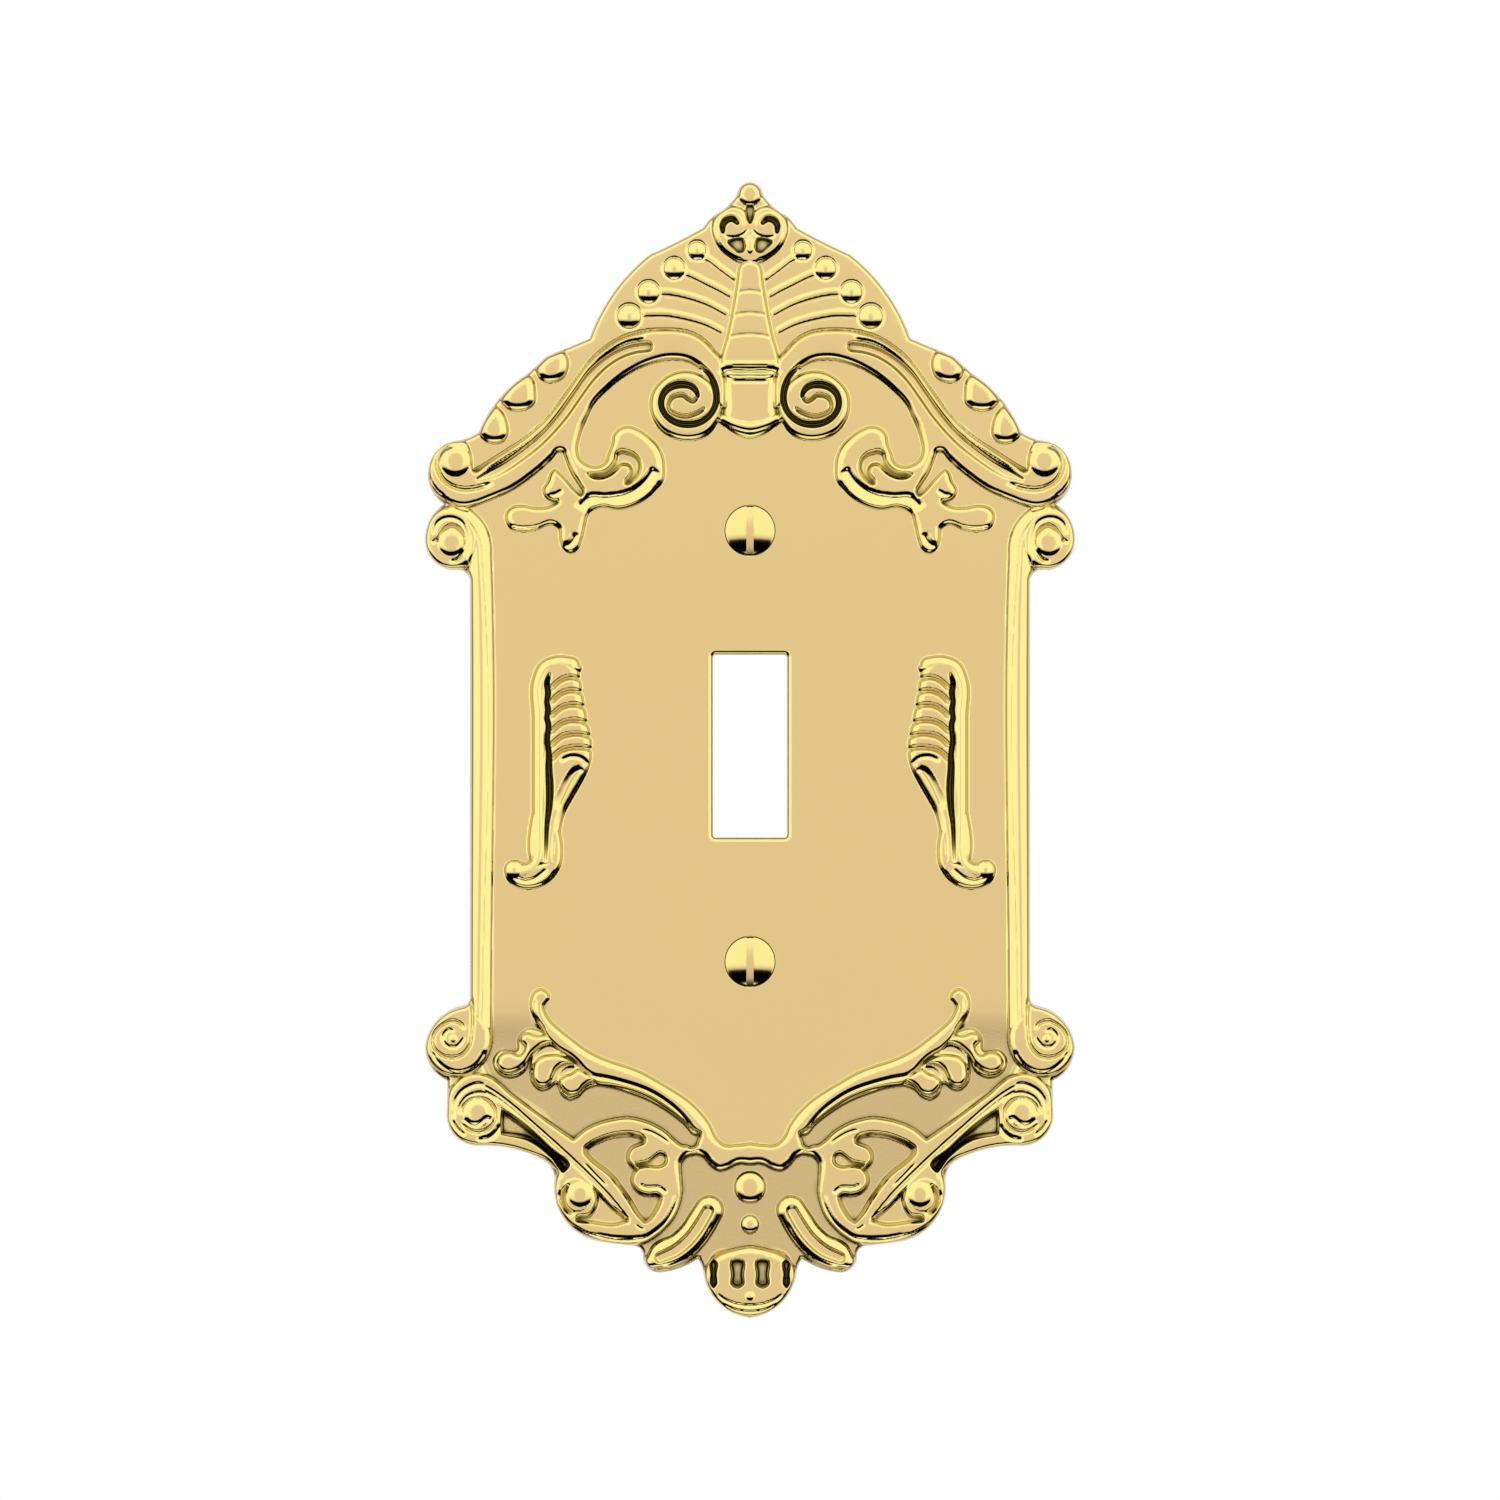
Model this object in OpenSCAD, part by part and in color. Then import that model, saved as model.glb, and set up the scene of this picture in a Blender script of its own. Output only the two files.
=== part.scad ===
// Ornate wall plate for one toggle switch: a single brass forging and its two oval-head screws.
// The wall is the plane y = 0 and the front faces -Y, with +Z up. The origin lies on the wall,
// midway between the two screws. "Depth" is the distance out from the wall, along -Y.

/* [Plate] */
// Depth of the plain field's face
field_d = 5; // [4.6:0.1:6]
// Thickness of the metal behind the field
metal_t = 2.2; // [1.8:0.1:2.6]
// Width of the rim left standing round the hollow back
rim_w = 3; // [2.5:0.1:3.5]
// How far the outer edge is rounded over
edge_round = 0.7; // [0.3:0.1:0.9]

/* [Relief] */
// Height of the highest ornament above the field
relief_h = 1.4; // [1:0.1:2]
// Number of steps that round each moulding
relief_steps = 2; // [1:1:3]

/* [Switch opening] */
// Width of the opening for the toggle
toggle_w = 10.4; // [10.3:0.1:11]
// Height of the opening for the toggle
toggle_h = 25.6; // [24:0.1:26]
// Bevel round the opening's front edge
toggle_bevel = 0.5; // [0.2:0.1:0.8]

/* [Screws] */
// Distance between the two screws
screw_spacing = 60.325; // [60:0.005:60.5]
// Diameter of the screw thread
thread_d = 3.5; // [3.3:0.05:3.6]
// Diameter of the plain neck between the head and the thread
neck_d = 3; // [2.8:0.05:3.1]
// Diameter of the screw head
head_d = 6.9; // [6.6:0.05:7]
// Height of the head's dome above the field
dome_h = 1.1; // [0.8:0.1:1.3]
// Length of the screw from the field's face to its tip
screw_len = 19; // [12:0.5:25]
// Width of the screwdriver slot
slot_w = 1; // [0.8:0.05:1.2]
// Depth of the screwdriver slot below the top of the dome
slot_depth = 1.3; // [1:0.1:1.6]

/* [Hidden] */
$fn = 64;

head_angle = 41;                  // half the angle of a countersunk head
hole_r = 2.35;                    // screw hole
sink_r = 3.6;                     // countersink at the face
head_gap = 0.1;                   // how far the head's rim stands in front of the field
hollow_d = field_d - metal_t;     // depth of the hollow back
brass = "#E2C081";
overlap = 0.3;                    // how far each step of the relief is rooted in the one below
seam = 0.1;                       // gaps narrower than twice this are closed in the relief
arc_step = 18;                    // most degrees that one chord of an arc turns through

// ---- Curves ----

// Points of the arc from p to q that rises by s to the right of the way from p to q.
// The last point is left out, because the next span starts with it.
function arc_span(p, q, s) =
    let (c = norm(q - p), u = (q - p) / c, n = [u[1], -u[0]], k = abs(s))
    k < 0.02 ? [p] :
    let (r = (c * c / 4 + k * k) / (2 * k), half = 2 * atan(2 * k / c),
         steps = ceil(2 * half / arc_step))
    [for (i = [0 : steps - 1])
        let (a = (2 * i / steps - 1) * half)
        (p + q) / 2 + u * r * sin(a) + n * sign(s) * (k - r + r * cos(a))];

// An outline from corners [x, z, rise of the arc to the next corner].
function arc_path(c) =
    [for (i = [0 : len(c) - 2]) each arc_span([c[i][0], c[i][1]], [c[i + 1][0], c[i + 1][1]], c[i][2])];

// One value of the smooth curve through p1 and p2, t running from 0 to 1 between them.
function smooth(p0, p1, p2, p3, t) =
    0.5 * (2 * p1 + (p2 - p0) * t + (2 * p0 - 5 * p1 + 4 * p2 - p3) * t * t
           + (3 * p1 - p0 - 3 * p2 + p3) * t * t * t);

// A smooth line through the rows of p, each [x, z, half width].
function smooth_line(p, per) =
    let (n = len(p) - 1)
    concat([for (i = [0 : n - 1]) for (k = [0 : per - 1])
        smooth(p[max(i - 1, 0)], p[i], p[i + 1], p[min(i + 2, n)], k / per)], [p[n]]);

// Rows along a spiral about c, from radius r0 at angle a0 to r1 at a1, half width w0 to w1.
function spiral(c, r0, a0, r1, a1, w0, w1) =
    let (n = ceil(abs(a1 - a0) / 40))
    [for (i = [0 : n])
        let (t = i / n, r = r0 + (r1 - r0) * t, a = a0 + (a1 - a0) * t)
        [c[0] + r * cos(a), c[1] + r * sin(a), w0 + (w1 - w0) * t]];

// ---- Outline of the plate, left half, from the finial down to the foot ----

EDGE = [
    [0, 79, 0.5], [-1.8, 77.3, -0.3], [-5, 74.4, 0.1], [-6.6, 72.6, -0.1], [-14, 68.9, 1.05],
    [-22.5, 57.1, 0], [-28.5, 54.6, 0], [-31, 52.3, 0.85], [-38, 44, -0.2],
    [-41, 42.8, 1.1], [-45.1, 38.5, 0.7], [-42.9, 33.9, 0.6],
    [-45.5, 29.5, 1.2], [-42, 24.7, 0], [-40.6, 24.7, -0.3], [-39.25, 23.2, 0],
    [-39.25, -35.3, -0.3], [-40.3, -36.4, 1.25], [-45.5, -42, 0.9], [-42.4, -46.9, 0],
    [-42.5, -52, 1.2], [-38, -56, -0.65], [-29, -58, -0.5], [-27.4, -61, 2.3],
    [-20.5, -69.5, 0], [-16.5, -70, -0.5], [-15, -71.6, 0.6], [-12.8, -73.8, 0.4],
    [-7.3, -71.9, -0.15], [-6.5, -74, 1.5], [0, -80.05, 0]];

module outline() {
    half = arc_path(EDGE);
    n = len(half);
    polygon(concat(half, [[0, -80.05]], [for (i = [n - 1 : -1 : 1]) [-half[i][0], half[i][1]]]));
}

// ---- Ornament, left half: rows of [x, z, half width] ----

// Broad ribbon that runs over the shoulder from the side volute to the crest
RIBBON = [
    [-43, 38, 0.8], [-41, 36.6, 1.5], [-37.8, 36.8, 1.9], [-34, 39, 2.1], [-30.6, 41.4, 2.2],
    [-27.6, 44.4, 2.2], [-24.4, 48.8, 2.2], [-21, 52.4, 2.1], [-17.2, 55, 1.9], [-13.2, 56.2, 1.6],
    [-9.4, 56.2, 1.4], [-6.4, 54.8, 1.1]];

// Great scroll under the shoulder, ending in its volute
GREAT_SCROLL = concat(
    [[-24.2, 42.5, 0.6], [-23.4, 46, 1], [-21.3, 49, 1.2], [-17.8, 51.6, 1.2], [-13.6, 53.4, 1.2]],
    spiral([-8.9, 47.9], 5.7, 95, 3.4, -250, 1.1, 0.8));

ACANTHUS = [
    [-19, 42, 0.4], [-17, 43.2, 1], [-14.8, 42.2, 1.4], [-13.6, 39.4, 1.5], [-14.8, 36, 1.4],
    [-18.4, 34.3, 1.4], [-22, 34.2, 1.3], [-24.3, 31.8, 1.2], [-25.1, 28.3, 1]];
FINGER = [[-33, 32.1, 1.1], [-30, 31.9, 0.8], [-26.6, 32.4, 0.8], [-23.6, 34.2, 1]];

// Upright moulding at the side, with a volute at each end
PILASTER = concat(
    [[-37.8, 0, 1.4], [-37.8, 12, 1.4], [-37.9, 24, 1.4], [-38.2, 28.2, 1.4], [-39.6, 31, 1.3]],
    spiral([-42, 29], 3.1, 90, 1.6, 330, 1, 0.5));
PILASTER_LOW = concat(
    [[-37.8, 0, 1.4], [-37.8, -14, 1.4], [-37.8, -28, 1.4], [-37.9, -38, 1.4], [-38.4, -42, 1.3]],
    spiral([-41.7, -41.4], 3.2, -70, 1.4, -400, 1, 0.5));

BRACKET = [
    [-25, 11.4, 0.8], [-27.4, 11.8, 1], [-29.2, 10, 1.1], [-29.3, 4, 1], [-29.3, -3, 1],
    [-29.2, -10, 1], [-29.2, -15, 1], [-30.6, -17.6, 1.1], [-32.8, -17.8, 1.2]];

// Band that closes the field at the foot
FOOT_BAND = [
    [-29.3, -35.6, 0.7], [-29, -37.8, 0.8], [-27.2, -40.2, 1], [-24, -42.9, 1.2], [-20, -44.8, 1.2],
    [-16, -46.2, 1.3], [-12.4, -48.5, 1.4], [-9.2, -51.2, 1.4], [-6.4, -54.6, 1.3],
    [-3.6, -56.9, 1.2], [0, -56.6, 1]];
DIAGONAL = [
    [-41, -51, 0.8], [-40.2, -48.7, 0.9], [-37.8, -47.6, 0.9], [-35, -49.1, 1], [-30, -53.2, 1],
    [-25, -57.5, 1], [-20.4, -62.2, 0.9], [-17, -66.4, 0.7]];
FOOT_SCROLL = [
    [-26, -63.5, 0.7], [-24.6, -66.4, 0.9], [-21, -68.6, 0.9], [-17.4, -69, 0.9], [-13.8, -68.2, 0.9],
    [-11.6, -66, 0.9], [-10.6, -62.6, 0.9], [-10.5, -58.6, 0.8], [-8.6, -56.9, 0.8]];
ARCH = [
    [-26, -54.6, 0.8], [-23, -52.8, 0.9], [-19, -51.4, 1.1], [-15, -51.4, 1.2], [-11.6, -53.4, 1],
    [-9, -55.4, 0.8]];
FLUTED_LEAF = [[-12.8, -71.4, 1.9], [-10, -70.4, 1.9], [-7.7, -68.2, 1.9], [-5.9, -65, 1.7]];

// Ribs of the crest, each springing from a bead on its outer edge
RIBS = [
    [[-7.3, 69.4, 0.9], [-4.6, 67.2, 0.7], [-2.2, 65.4, 0.4]],
    [[-10.6, 66.9, 1.1], [-6.6, 65.6, 0.8], [-2.6, 63.4, 0.4]],
    [[-14.2, 63.6, 1.1], [-9, 63, 0.9], [-3.2, 60.7, 0.5]],
    [[-16.9, 60.1, 1.2], [-11, 60.2, 1], [-6.5, 59.4, 0.8], [-3.8, 58, 0.5]]];
HEART = concat(spiral([-3, 72.4], 1, 20, 2, 220, 0.5, 0.8), [[-2.6, 69, 0.6], [-1.3, 67.6, 0.4]]);

// Round bosses and beads: [x, z, radius]
BEADS = [
    [-7.3, 69.4, 1.15], [-10.6, 66.9, 1.35], [-14.2, 63.6, 1.4], [-16.9, 60.1, 1.5],
    [-35.7, 44.5, 1.9], [-32.3, 49.2, 2.1], [-27.8, 52.9, 2], [-41.2, 39.9, 2],
    [-9.3, 47.6, 1.8], [-41.9, 28.6, 1.9], [-41.7, -41.3, 1.4], [-33.1, 32.1, 1.2],
    [-25.1, 28.2, 1.1], [-33.6, -44, 1.6], [-29.1, -45.2, 1.6], [-25.3, -46.7, 1.5],
    [-38.2, -51.2, 2], [-24, -62.8, 1.8], [-32.9, -17.8, 1.3], [-19.4, 40.8, 0.8]];
CENTRE_BEADS = [[0, 77.2, 1.4], [0, -61.7, 2.1], [0, -66.8, 1.2]];

// Leaves of the bracket: the height of each, and how far its tip stands out from the bar
LEAVES = [[10, 4.2], [7.9, 4.4], [5.8, 4.6], [3.6, 4.8], [1.4, 5.2], [-0.9, 5.8], [-3.4, 5.4]];

// A band through the rows of a line, at a share of its full width, with blunt ends.
module band(rows, share, per) {
    p = smooth_line(rows, per);
    n = len(p) - 1;
    side = [for (i = [0 : n])
        let (d = p[min(i + 1, n)] - p[max(i - 1, 0)], l = norm([d[0], d[1]]))
        [-d[1] / l, d[0] / l] * max(p[i][2] * share, 0.1)];
    polygon(concat(
        [for (i = [0 : n]) [p[i][0], p[i][1]] + side[i]],
        [for (i = [n : -1 : 0]) [p[i][0], p[i][1]] - side[i]]));
    for (i = [0, n])
        translate([p[i][0], p[i][1]]) circle(r = max(p[i][2] * share, 0.1), $fn = 8);
}

// Every moulding of the left half, its width cut to a share.
module left_ornament(share) {
    for (rows = [RIBBON, GREAT_SCROLL, ACANTHUS, FINGER, PILASTER, PILASTER_LOW, BRACKET,
                 FOOT_BAND, DIAGONAL, FOOT_SCROLL, ARCH, FLUTED_LEAF, HEART])
        band(rows, share, share > 0.5 ? 2 : 1);
    for (rows = RIBS)
        band(rows, share, 1);
    for (b = BEADS)
        translate([b[0], b[1]]) circle(r = b[2] * share, $fn = 10);
    for (l = LEAVES)
        translate([-28.5, l[0]]) scale([l[1], share]) circle(r = 1, $fn = 8);
}

// Tapered stem of the crest, the keystone under it and the bell at the foot.
module centre_ornament(share) {
    inset = (1 - share) * 1.6;
    offset(delta = -inset)
        polygon([[-1.2, 67.4], [-2.6, 61], [-4, 54.2], [-4, 52.5], [-3.4, 50], [-3.4, 47],
                 [-3.8, 45.2], [-2, 43.8], [0, 43.3], [2, 43.8], [3.8, 45.2], [3.4, 47], [3.4, 50],
                 [4, 52.5], [4, 54.2], [2.6, 61], [1.2, 67.4]]);
    offset(delta = -inset)
        polygon([[0, -70.3], [-2.6, -70.7], [-4.6, -71.4], [-5.7, -72.6], [-5.8, -75], [-4.8, -77],
                 [-2.6, -79], [0, -79.6], [2.6, -79], [4.8, -77], [5.8, -75], [5.7, -72.6],
                 [4.6, -71.4], [2.6, -70.7]]);
    for (b = CENTRE_BEADS)
        translate([b[0], b[1]]) circle(r = b[2] * share, $fn = 16);
}

// ---- Solids ----

// Raises a drawing in x and z into a slab between two depths.
module slab(d0, d1) {
    rotate([90, 0, 0]) translate([0, 0, d0]) linear_extrude(d1 - d0) children();
}

module blank() {
    slab(0, field_d - edge_round) outline();
    slab(field_d - edge_round - overlap, field_d) offset(delta = -edge_round) outline();
}

// The ornament as stacked slabs, each narrower than the one below, so that it rounds over.
module relief() {
    for (i = [1 : relief_steps]) {
        share = cos(90 * (i - 0.6) / relief_steps);
        base = field_d + relief_h * (i - 1) / relief_steps;
        slab(base - overlap, base + relief_h / relief_steps)
            offset(delta = -seam) offset(delta = seam) intersection() {
                offset(delta = -edge_round - 0.3 * i) outline();
                union() {
                    left_ornament(share);
                    mirror([1, 0]) left_ornament(share);
                    centre_ornament(share);
                }
            }
    }
}

module hollow_back() {
    slab(-1, hollow_d) offset(r = 1, $fn = 16) offset(delta = -rim_w - 1) outline();
}

// Straight-sided cut as long as l whose width w opens out by 45 degrees at the field's face.
module bevel_wedge(w, l) {
    low = toggle_bevel + 0.1;
    linear_extrude(l, center = true)
        polygon([[-w / 2 + 0.1, low - field_d], [w / 2 - 0.1, low - field_d],
                 [w / 2 + toggle_bevel + 1, -field_d - 1], [-w / 2 - toggle_bevel - 1, -field_d - 1]]);
}

module toggle_opening() {
    slab(-1, field_d + 1) square([toggle_w, toggle_h], center = true);
    intersection() {
        bevel_wedge(toggle_w, toggle_h + 10);
        rotate([0, 90, 0]) bevel_wedge(toggle_h, toggle_w + 10);
    }
}

// Clear hole through the metal with a countersink in the field's face.
module screw_hole() {
    sink_d = (sink_r - hole_r) / tan(head_angle);
    rotate([90, 0, 0]) {
        translate([0, 0, -1]) cylinder(h = field_d + 2, r = hole_r);
        translate([0, 0, field_d - sink_d]) cylinder(h = sink_d, r1 = hole_r, r2 = sink_r);
        translate([0, 0, field_d]) cylinder(h = relief_h + 1, r = sink_r);
    }
}

module plate() {
    color(brass) difference() {
        union() {
            blank();
            relief();
        }
        hollow_back();
        toggle_opening();
        for (z = [-1, 1]) translate([0, 0, z * screw_spacing / 2]) screw_hole();
    }
}

// Oval-head screw: dome and cone, a plain neck within the plate, and the thread behind it.
module screw() {
    head_r = head_d / 2;
    rim_d = field_d + head_gap;
    cone_h = (head_r - neck_d / 2) / tan(head_angle);
    ball_r = (head_r * head_r + dome_h * dome_h) / (2 * dome_h);
    color(brass) rotate([90, 0, 0]) difference() {
        union() {
            translate([0, 0, field_d - screw_len]) cylinder(h = screw_len - field_d, d = thread_d);
            translate([0, 0, -1]) cylinder(h = field_d, d = neck_d);
            translate([0, 0, rim_d - cone_h]) cylinder(h = cone_h, d1 = neck_d, r2 = head_r);
            translate([0, 0, rim_d]) intersection() {
                cylinder(h = dome_h, r = head_r);
                translate([0, 0, dome_h - ball_r]) sphere(r = ball_r);
            }
        }
        translate([0, 0, rim_d + dome_h]) cube([2 * head_d, slot_w, 2 * slot_depth], center = true);
    }
}

module upper_screw() {
    translate([0, 0, screw_spacing / 2]) screw();
}

module lower_screw() {
    translate([0, 0, -screw_spacing / 2]) screw();
}

plate();
upper_screw();
lower_screw();
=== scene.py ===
"""Polished brass wall plate for one toggle switch, with its two oval-head screws.

The relief is a height map of the plate's left half. It is drawn from named mouldings, turned into
one triangle mesh and mirrored. Drawing sizes are millimetres in x and z on the plate's face, and
"height" is the distance above the plain field. The wall is the plane y = 0 and the front faces -Y.
"""
import math
import bpy
import numpy as np
from mathutils import Matrix, Vector
from mathutils.geometry import delaunay_2d_cdt


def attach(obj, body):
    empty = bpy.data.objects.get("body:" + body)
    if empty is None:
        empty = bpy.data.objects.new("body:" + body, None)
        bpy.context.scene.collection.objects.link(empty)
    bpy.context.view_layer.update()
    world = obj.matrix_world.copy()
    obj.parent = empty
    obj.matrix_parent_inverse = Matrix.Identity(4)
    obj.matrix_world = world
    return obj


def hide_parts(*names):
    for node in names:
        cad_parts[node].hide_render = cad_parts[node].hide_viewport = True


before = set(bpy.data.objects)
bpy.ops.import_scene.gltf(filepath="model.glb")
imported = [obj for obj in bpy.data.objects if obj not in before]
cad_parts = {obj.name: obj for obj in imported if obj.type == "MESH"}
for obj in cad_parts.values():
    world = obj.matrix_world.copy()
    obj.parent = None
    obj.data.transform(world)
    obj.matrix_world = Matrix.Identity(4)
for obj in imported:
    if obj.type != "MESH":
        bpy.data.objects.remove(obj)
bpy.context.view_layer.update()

MM = 0.001

# ---- Plate ----
FIELD = 5.0            # depth of the plain field's face
HOLLOW = 2.8           # depth of the hollow back
CREST_GROUND = 0.5     # height of the ground behind the crest
LOW_GROUND = -0.45     # height of the ground between the foot's bands
TOP = 1.2              # height of the broad flat mouldings
RELIEF = 0.72          # true height of the ornament for each mm it is drawn with, set by its look
WALL_DROP = 2.2        # height of the sloping side and the rounded edge together
WALL_LEAN = 0.12       # how far the side leans in
ROUND_W, ROUND_H = 0.6, 0.65   # rounded edge above the side
SINK_R, HOLE_R = 3.62, 2.36    # countersink and clear hole
SCREW_Z = 30.1625
OPENING = (5.2, 12.8)          # half width and half height of the toggle opening
BEVEL_W, BEVEL_H = 0.65, 0.6   # rounded edge of the opening
CONE_ANGLE = math.radians(41)  # between a countersink's wall and the screw's axis

# Outline from finial to foot: [x, z, rise of the arc to the next corner]
EDGE = [
    (0, 79, 0.5), (-1.8, 77.3, -0.3), (-5, 74.4, 0.1), (-6.6, 72.6, -0.1), (-14, 68.9, 1.05),
    (-22.5, 57.1, 0), (-28.5, 54.6, 0), (-31, 52.3, 0.85), (-38, 44, -0.2), (-41, 42.8, 1.1),
    (-45.1, 38.5, 0.7), (-42.9, 33.9, 0.6), (-45.5, 29.5, 1.2), (-42, 24.7, 0), (-40.6, 24.7, -0.3),
    (-39.25, 23.2, 0), (-39.25, -35.3, -0.3), (-40.3, -36.4, 1.25), (-45.5, -42, 0.9),
    (-42.4, -46.9, 0), (-42.5, -52, 1.2), (-38, -56, -0.65), (-29, -58, -0.5), (-27.4, -61, 2.3),
    (-20.5, -69.5, 0), (-16.5, -70, -0.5), (-15, -71.6, 0.6), (-12.8, -73.8, 0.4),
    (-7.3, -71.9, -0.15), (-6.5, -74, 1.5), (0, -80.05, 0)]

# ---- Height map ----
STEP = 0.1
X = np.arange(-464, 1) * STEP
Z = np.arange(-808, 809) * STEP
H = np.zeros((Z.size, X.size))


def curve(rows, closed=False):
    """Smooth line through the rows. A row given twice makes a corner."""
    p = np.array(rows, float)
    if closed:
        p = np.concatenate([p, p[:1]])
    gap = np.hypot(*np.diff(p[:, :2], axis=0).T)
    n = len(gap)

    def slope(i, k):
        """Slope at point i as seen from span k."""
        before, after = i - 1, i
        if closed:
            before, after = before % n, after % n
        if before < 0 or after > n - 1 or gap[before] < 1e-6 or gap[after] < 1e-6:
            return (p[k + 1] - p[k]) / gap[k]
        a = (p[before + 1] - p[before]) / gap[before]
        b = (p[after + 1] - p[after]) / gap[after]
        return (a * gap[after] + b * gap[before]) / (gap[before] + gap[after])

    line = []
    for k in range(n):
        if gap[k] < 1e-6:
            continue
        count = max(1, math.ceil(gap[k] / 0.25))
        t = (np.arange(count) / count)[:, None]
        m0, m1 = slope(k, k) * gap[k], slope(k + 1, k) * gap[k]
        line.append(p[k] * (1 + t * t * (2 * t - 3)) + p[k + 1] * t * t * (3 - 2 * t)
                    + m0 * t * (1 - t) ** 2 + m1 * t * t * (t - 1))
    return np.concatenate(line + [p[-1:]])


def near(line, reach):
    """Distance, side and carried values of a line's nearest point, on the grid round it."""
    lo, hi = line[:, :2].min(0) - reach, line[:, :2].max(0) + reach
    j0, j1 = np.searchsorted(X, (lo[0], hi[0]))
    i0, i1 = np.searchsorted(Z, (lo[1], hi[1]))
    best = np.full((i1 - i0, j1 - j0), float(reach))
    side = np.ones(best.shape)
    value = np.zeros(best.shape + (line.shape[1] - 2,)) + line[:, 2:].max(0)
    for a, b in zip(line, line[1:]):
        u = (b - a)[:2]
        if u @ u < 1e-12:
            continue
        lo, hi = np.minimum(a, b)[:2] - reach, np.maximum(a, b)[:2] + reach
        l0, l1 = np.searchsorted(X, (lo[0], hi[0])) - j0
        k0, k1 = np.searchsorted(Z, (lo[1], hi[1])) - i0
        part = (slice(k0, k1), slice(l0, l1))
        dx, dz = X[j0 + l0:j0 + l1] - a[0], Z[i0 + k0:i0 + k1, None] - a[1]
        t = np.clip((dx * u[0] + dz * u[1]) / (u @ u), 0, 1)
        d = np.hypot(dx - t * u[0], dz - t * u[1])
        closer = d < best[part]
        best[part] = np.where(closer, d, best[part])
        side[part] = np.where(closer, np.sign(u[0] * dz - u[1] * dx), side[part])
        value[part] = np.where(closer[..., None], a[2:] + (b - a)[2:] * t[..., None], value[part])
    return (slice(i0, i1), slice(j0, j1)), best, side, value


def inside(line, where):
    """True for the grid points of a window that a closed line surrounds."""
    rows, cols = where
    x, z = X[cols], Z[rows]
    odd = np.zeros((z.size, x.size), bool)
    for a, b in zip(line, line[1:]):
        if a[1] == b[1]:
            continue
        k = slice(*np.searchsorted(z, sorted((a[1], b[1]))))
        cross = a[0] + (z[k, None] - a[1]) * (b[0] - a[0]) / (b[1] - a[1])
        odd[k] ^= x < cross
    return odd


def widened(points, width):
    """Points with their own third number kept, or else the given width."""
    return [tuple(p) if len(p) > 2 else (p[0], p[1], width) for p in points]


def edge_share(points, width):
    line = curve(widened(points, width), closed=True)
    where, d, _, value = near(line, line[:, 2].max())
    return where, inside(line, where), np.clip(d / np.maximum(value[..., 0], 0.05), 0, 1)


def rounded(t):
    """Share of a moulding's height at a share t of its edge's width, steep at the foot."""
    return (1 - (1 - t) ** 2) ** 0.62


def pad(points, top, width, base=None, lean=(0, 0)):
    """Raises the ground inside an outline to a flat top with rounded edges as wide as width."""
    where, within, t = edge_share(points, width)
    middle = np.mean(np.array([p[:2] for p in points]), axis=0)
    high = top + lean[0] * (X[where[1]] - middle[0]) + lean[1] * (Z[where[0], None] - middle[1])
    low = (0 if top > 0 else top - 1) if base is None else base
    rise = low + (high - low) * rounded(t)
    H[where] = np.where(within, np.maximum(H[where], rise), H[where])


def sink(points, floor, width, lean=(0, 0), fade=None):
    """Lowers the ground inside an outline to a floor, with rounded walls as wide as width.
    Fade gives the two heights in z between which the floor starts to sink."""
    where, within, t = edge_share(points, width)
    middle = np.mean(np.array([p[:2] for p in points]), axis=0)
    low = floor + lean[0] * (X[where[1]] - middle[0]) + lean[1] * (Z[where[0], None] - middle[1])
    share = 0.5 - 0.5 * np.cos(np.pi * t)
    if fade:
        start = np.clip((Z[where[0], None] - fade[0]) / (fade[1] - fade[0]), 0, 1)
        share = share * start * start * (3 - 2 * start)
    H[where] = np.where(within, np.minimum(H[where], H[where] + (low - H[where]) * share), H[where])


def band(rows, base=0.0):
    """Rounded moulding along rows of [x, z, width to the left, width to the right, height]."""
    line = curve(rows)
    where, d, side, value = near(line, line[:, 2:4].max())
    width = np.where(side > 0, value[..., 0], value[..., 1])
    s = np.clip(d / width, 0, 1)
    rise = base + (value[..., 2] - base) * rounded(1 - s)
    H[where] = np.where(d < width, np.maximum(H[where], rise), H[where])


def channel(rows, flat=0.4):
    """Cuts a channel along rows of [x, z, half width, floor height] with a flat middle."""
    line = curve(rows)
    where, d, _, value = near(line, line[:, 2].max())
    s = np.clip((d / value[..., 0] - flat) / (1 - flat), 0, 1)
    share = 0.5 + 0.5 * np.cos(np.pi * s)
    cut = H[where] + (value[..., 1] - H[where]) * share
    H[where] = np.where(d < value[..., 0], np.minimum(H[where], cut), H[where])


def stroke(points, width, rise, power=1.0, taper=0.8):
    """Adds a ridge, or cuts a groove if rise is below 0. It fades out at both ends.
    Width is one number, or (to the left, to the right) of the way along the points."""
    left, right = width if isinstance(width, tuple) else (width, width)
    line = curve([(x, z, 0.0) for x, z in points])
    run = np.concatenate([[0], np.cumsum(np.hypot(*np.diff(line[:, :2], axis=0).T))])
    fade = np.clip(np.minimum(run, run[-1] - run) / taper, 0, 1) if taper else run * 0 + 1
    line[:, 2] = fade
    where, d, side, value = near(line, max(left, right))
    s = np.clip(d / np.where(side > 0, left, right), 0, 1)
    lowest = np.minimum(H[where], 0)
    H[where] = np.maximum(H[where] + rise / RELIEF * value[..., 0] * (1 - s ** power), lowest)


def fall(points, gentle, steep, level, taper=0.6):
    """Cuts a drop to the left of the way: gentle, then steep at its foot, then it levels out."""
    stroke(points, (gentle + steep, level), -0.33 * (gentle + steep), taper=taper)
    stroke(points, (steep, level), -0.55 * steep, taper=taper)


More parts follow.
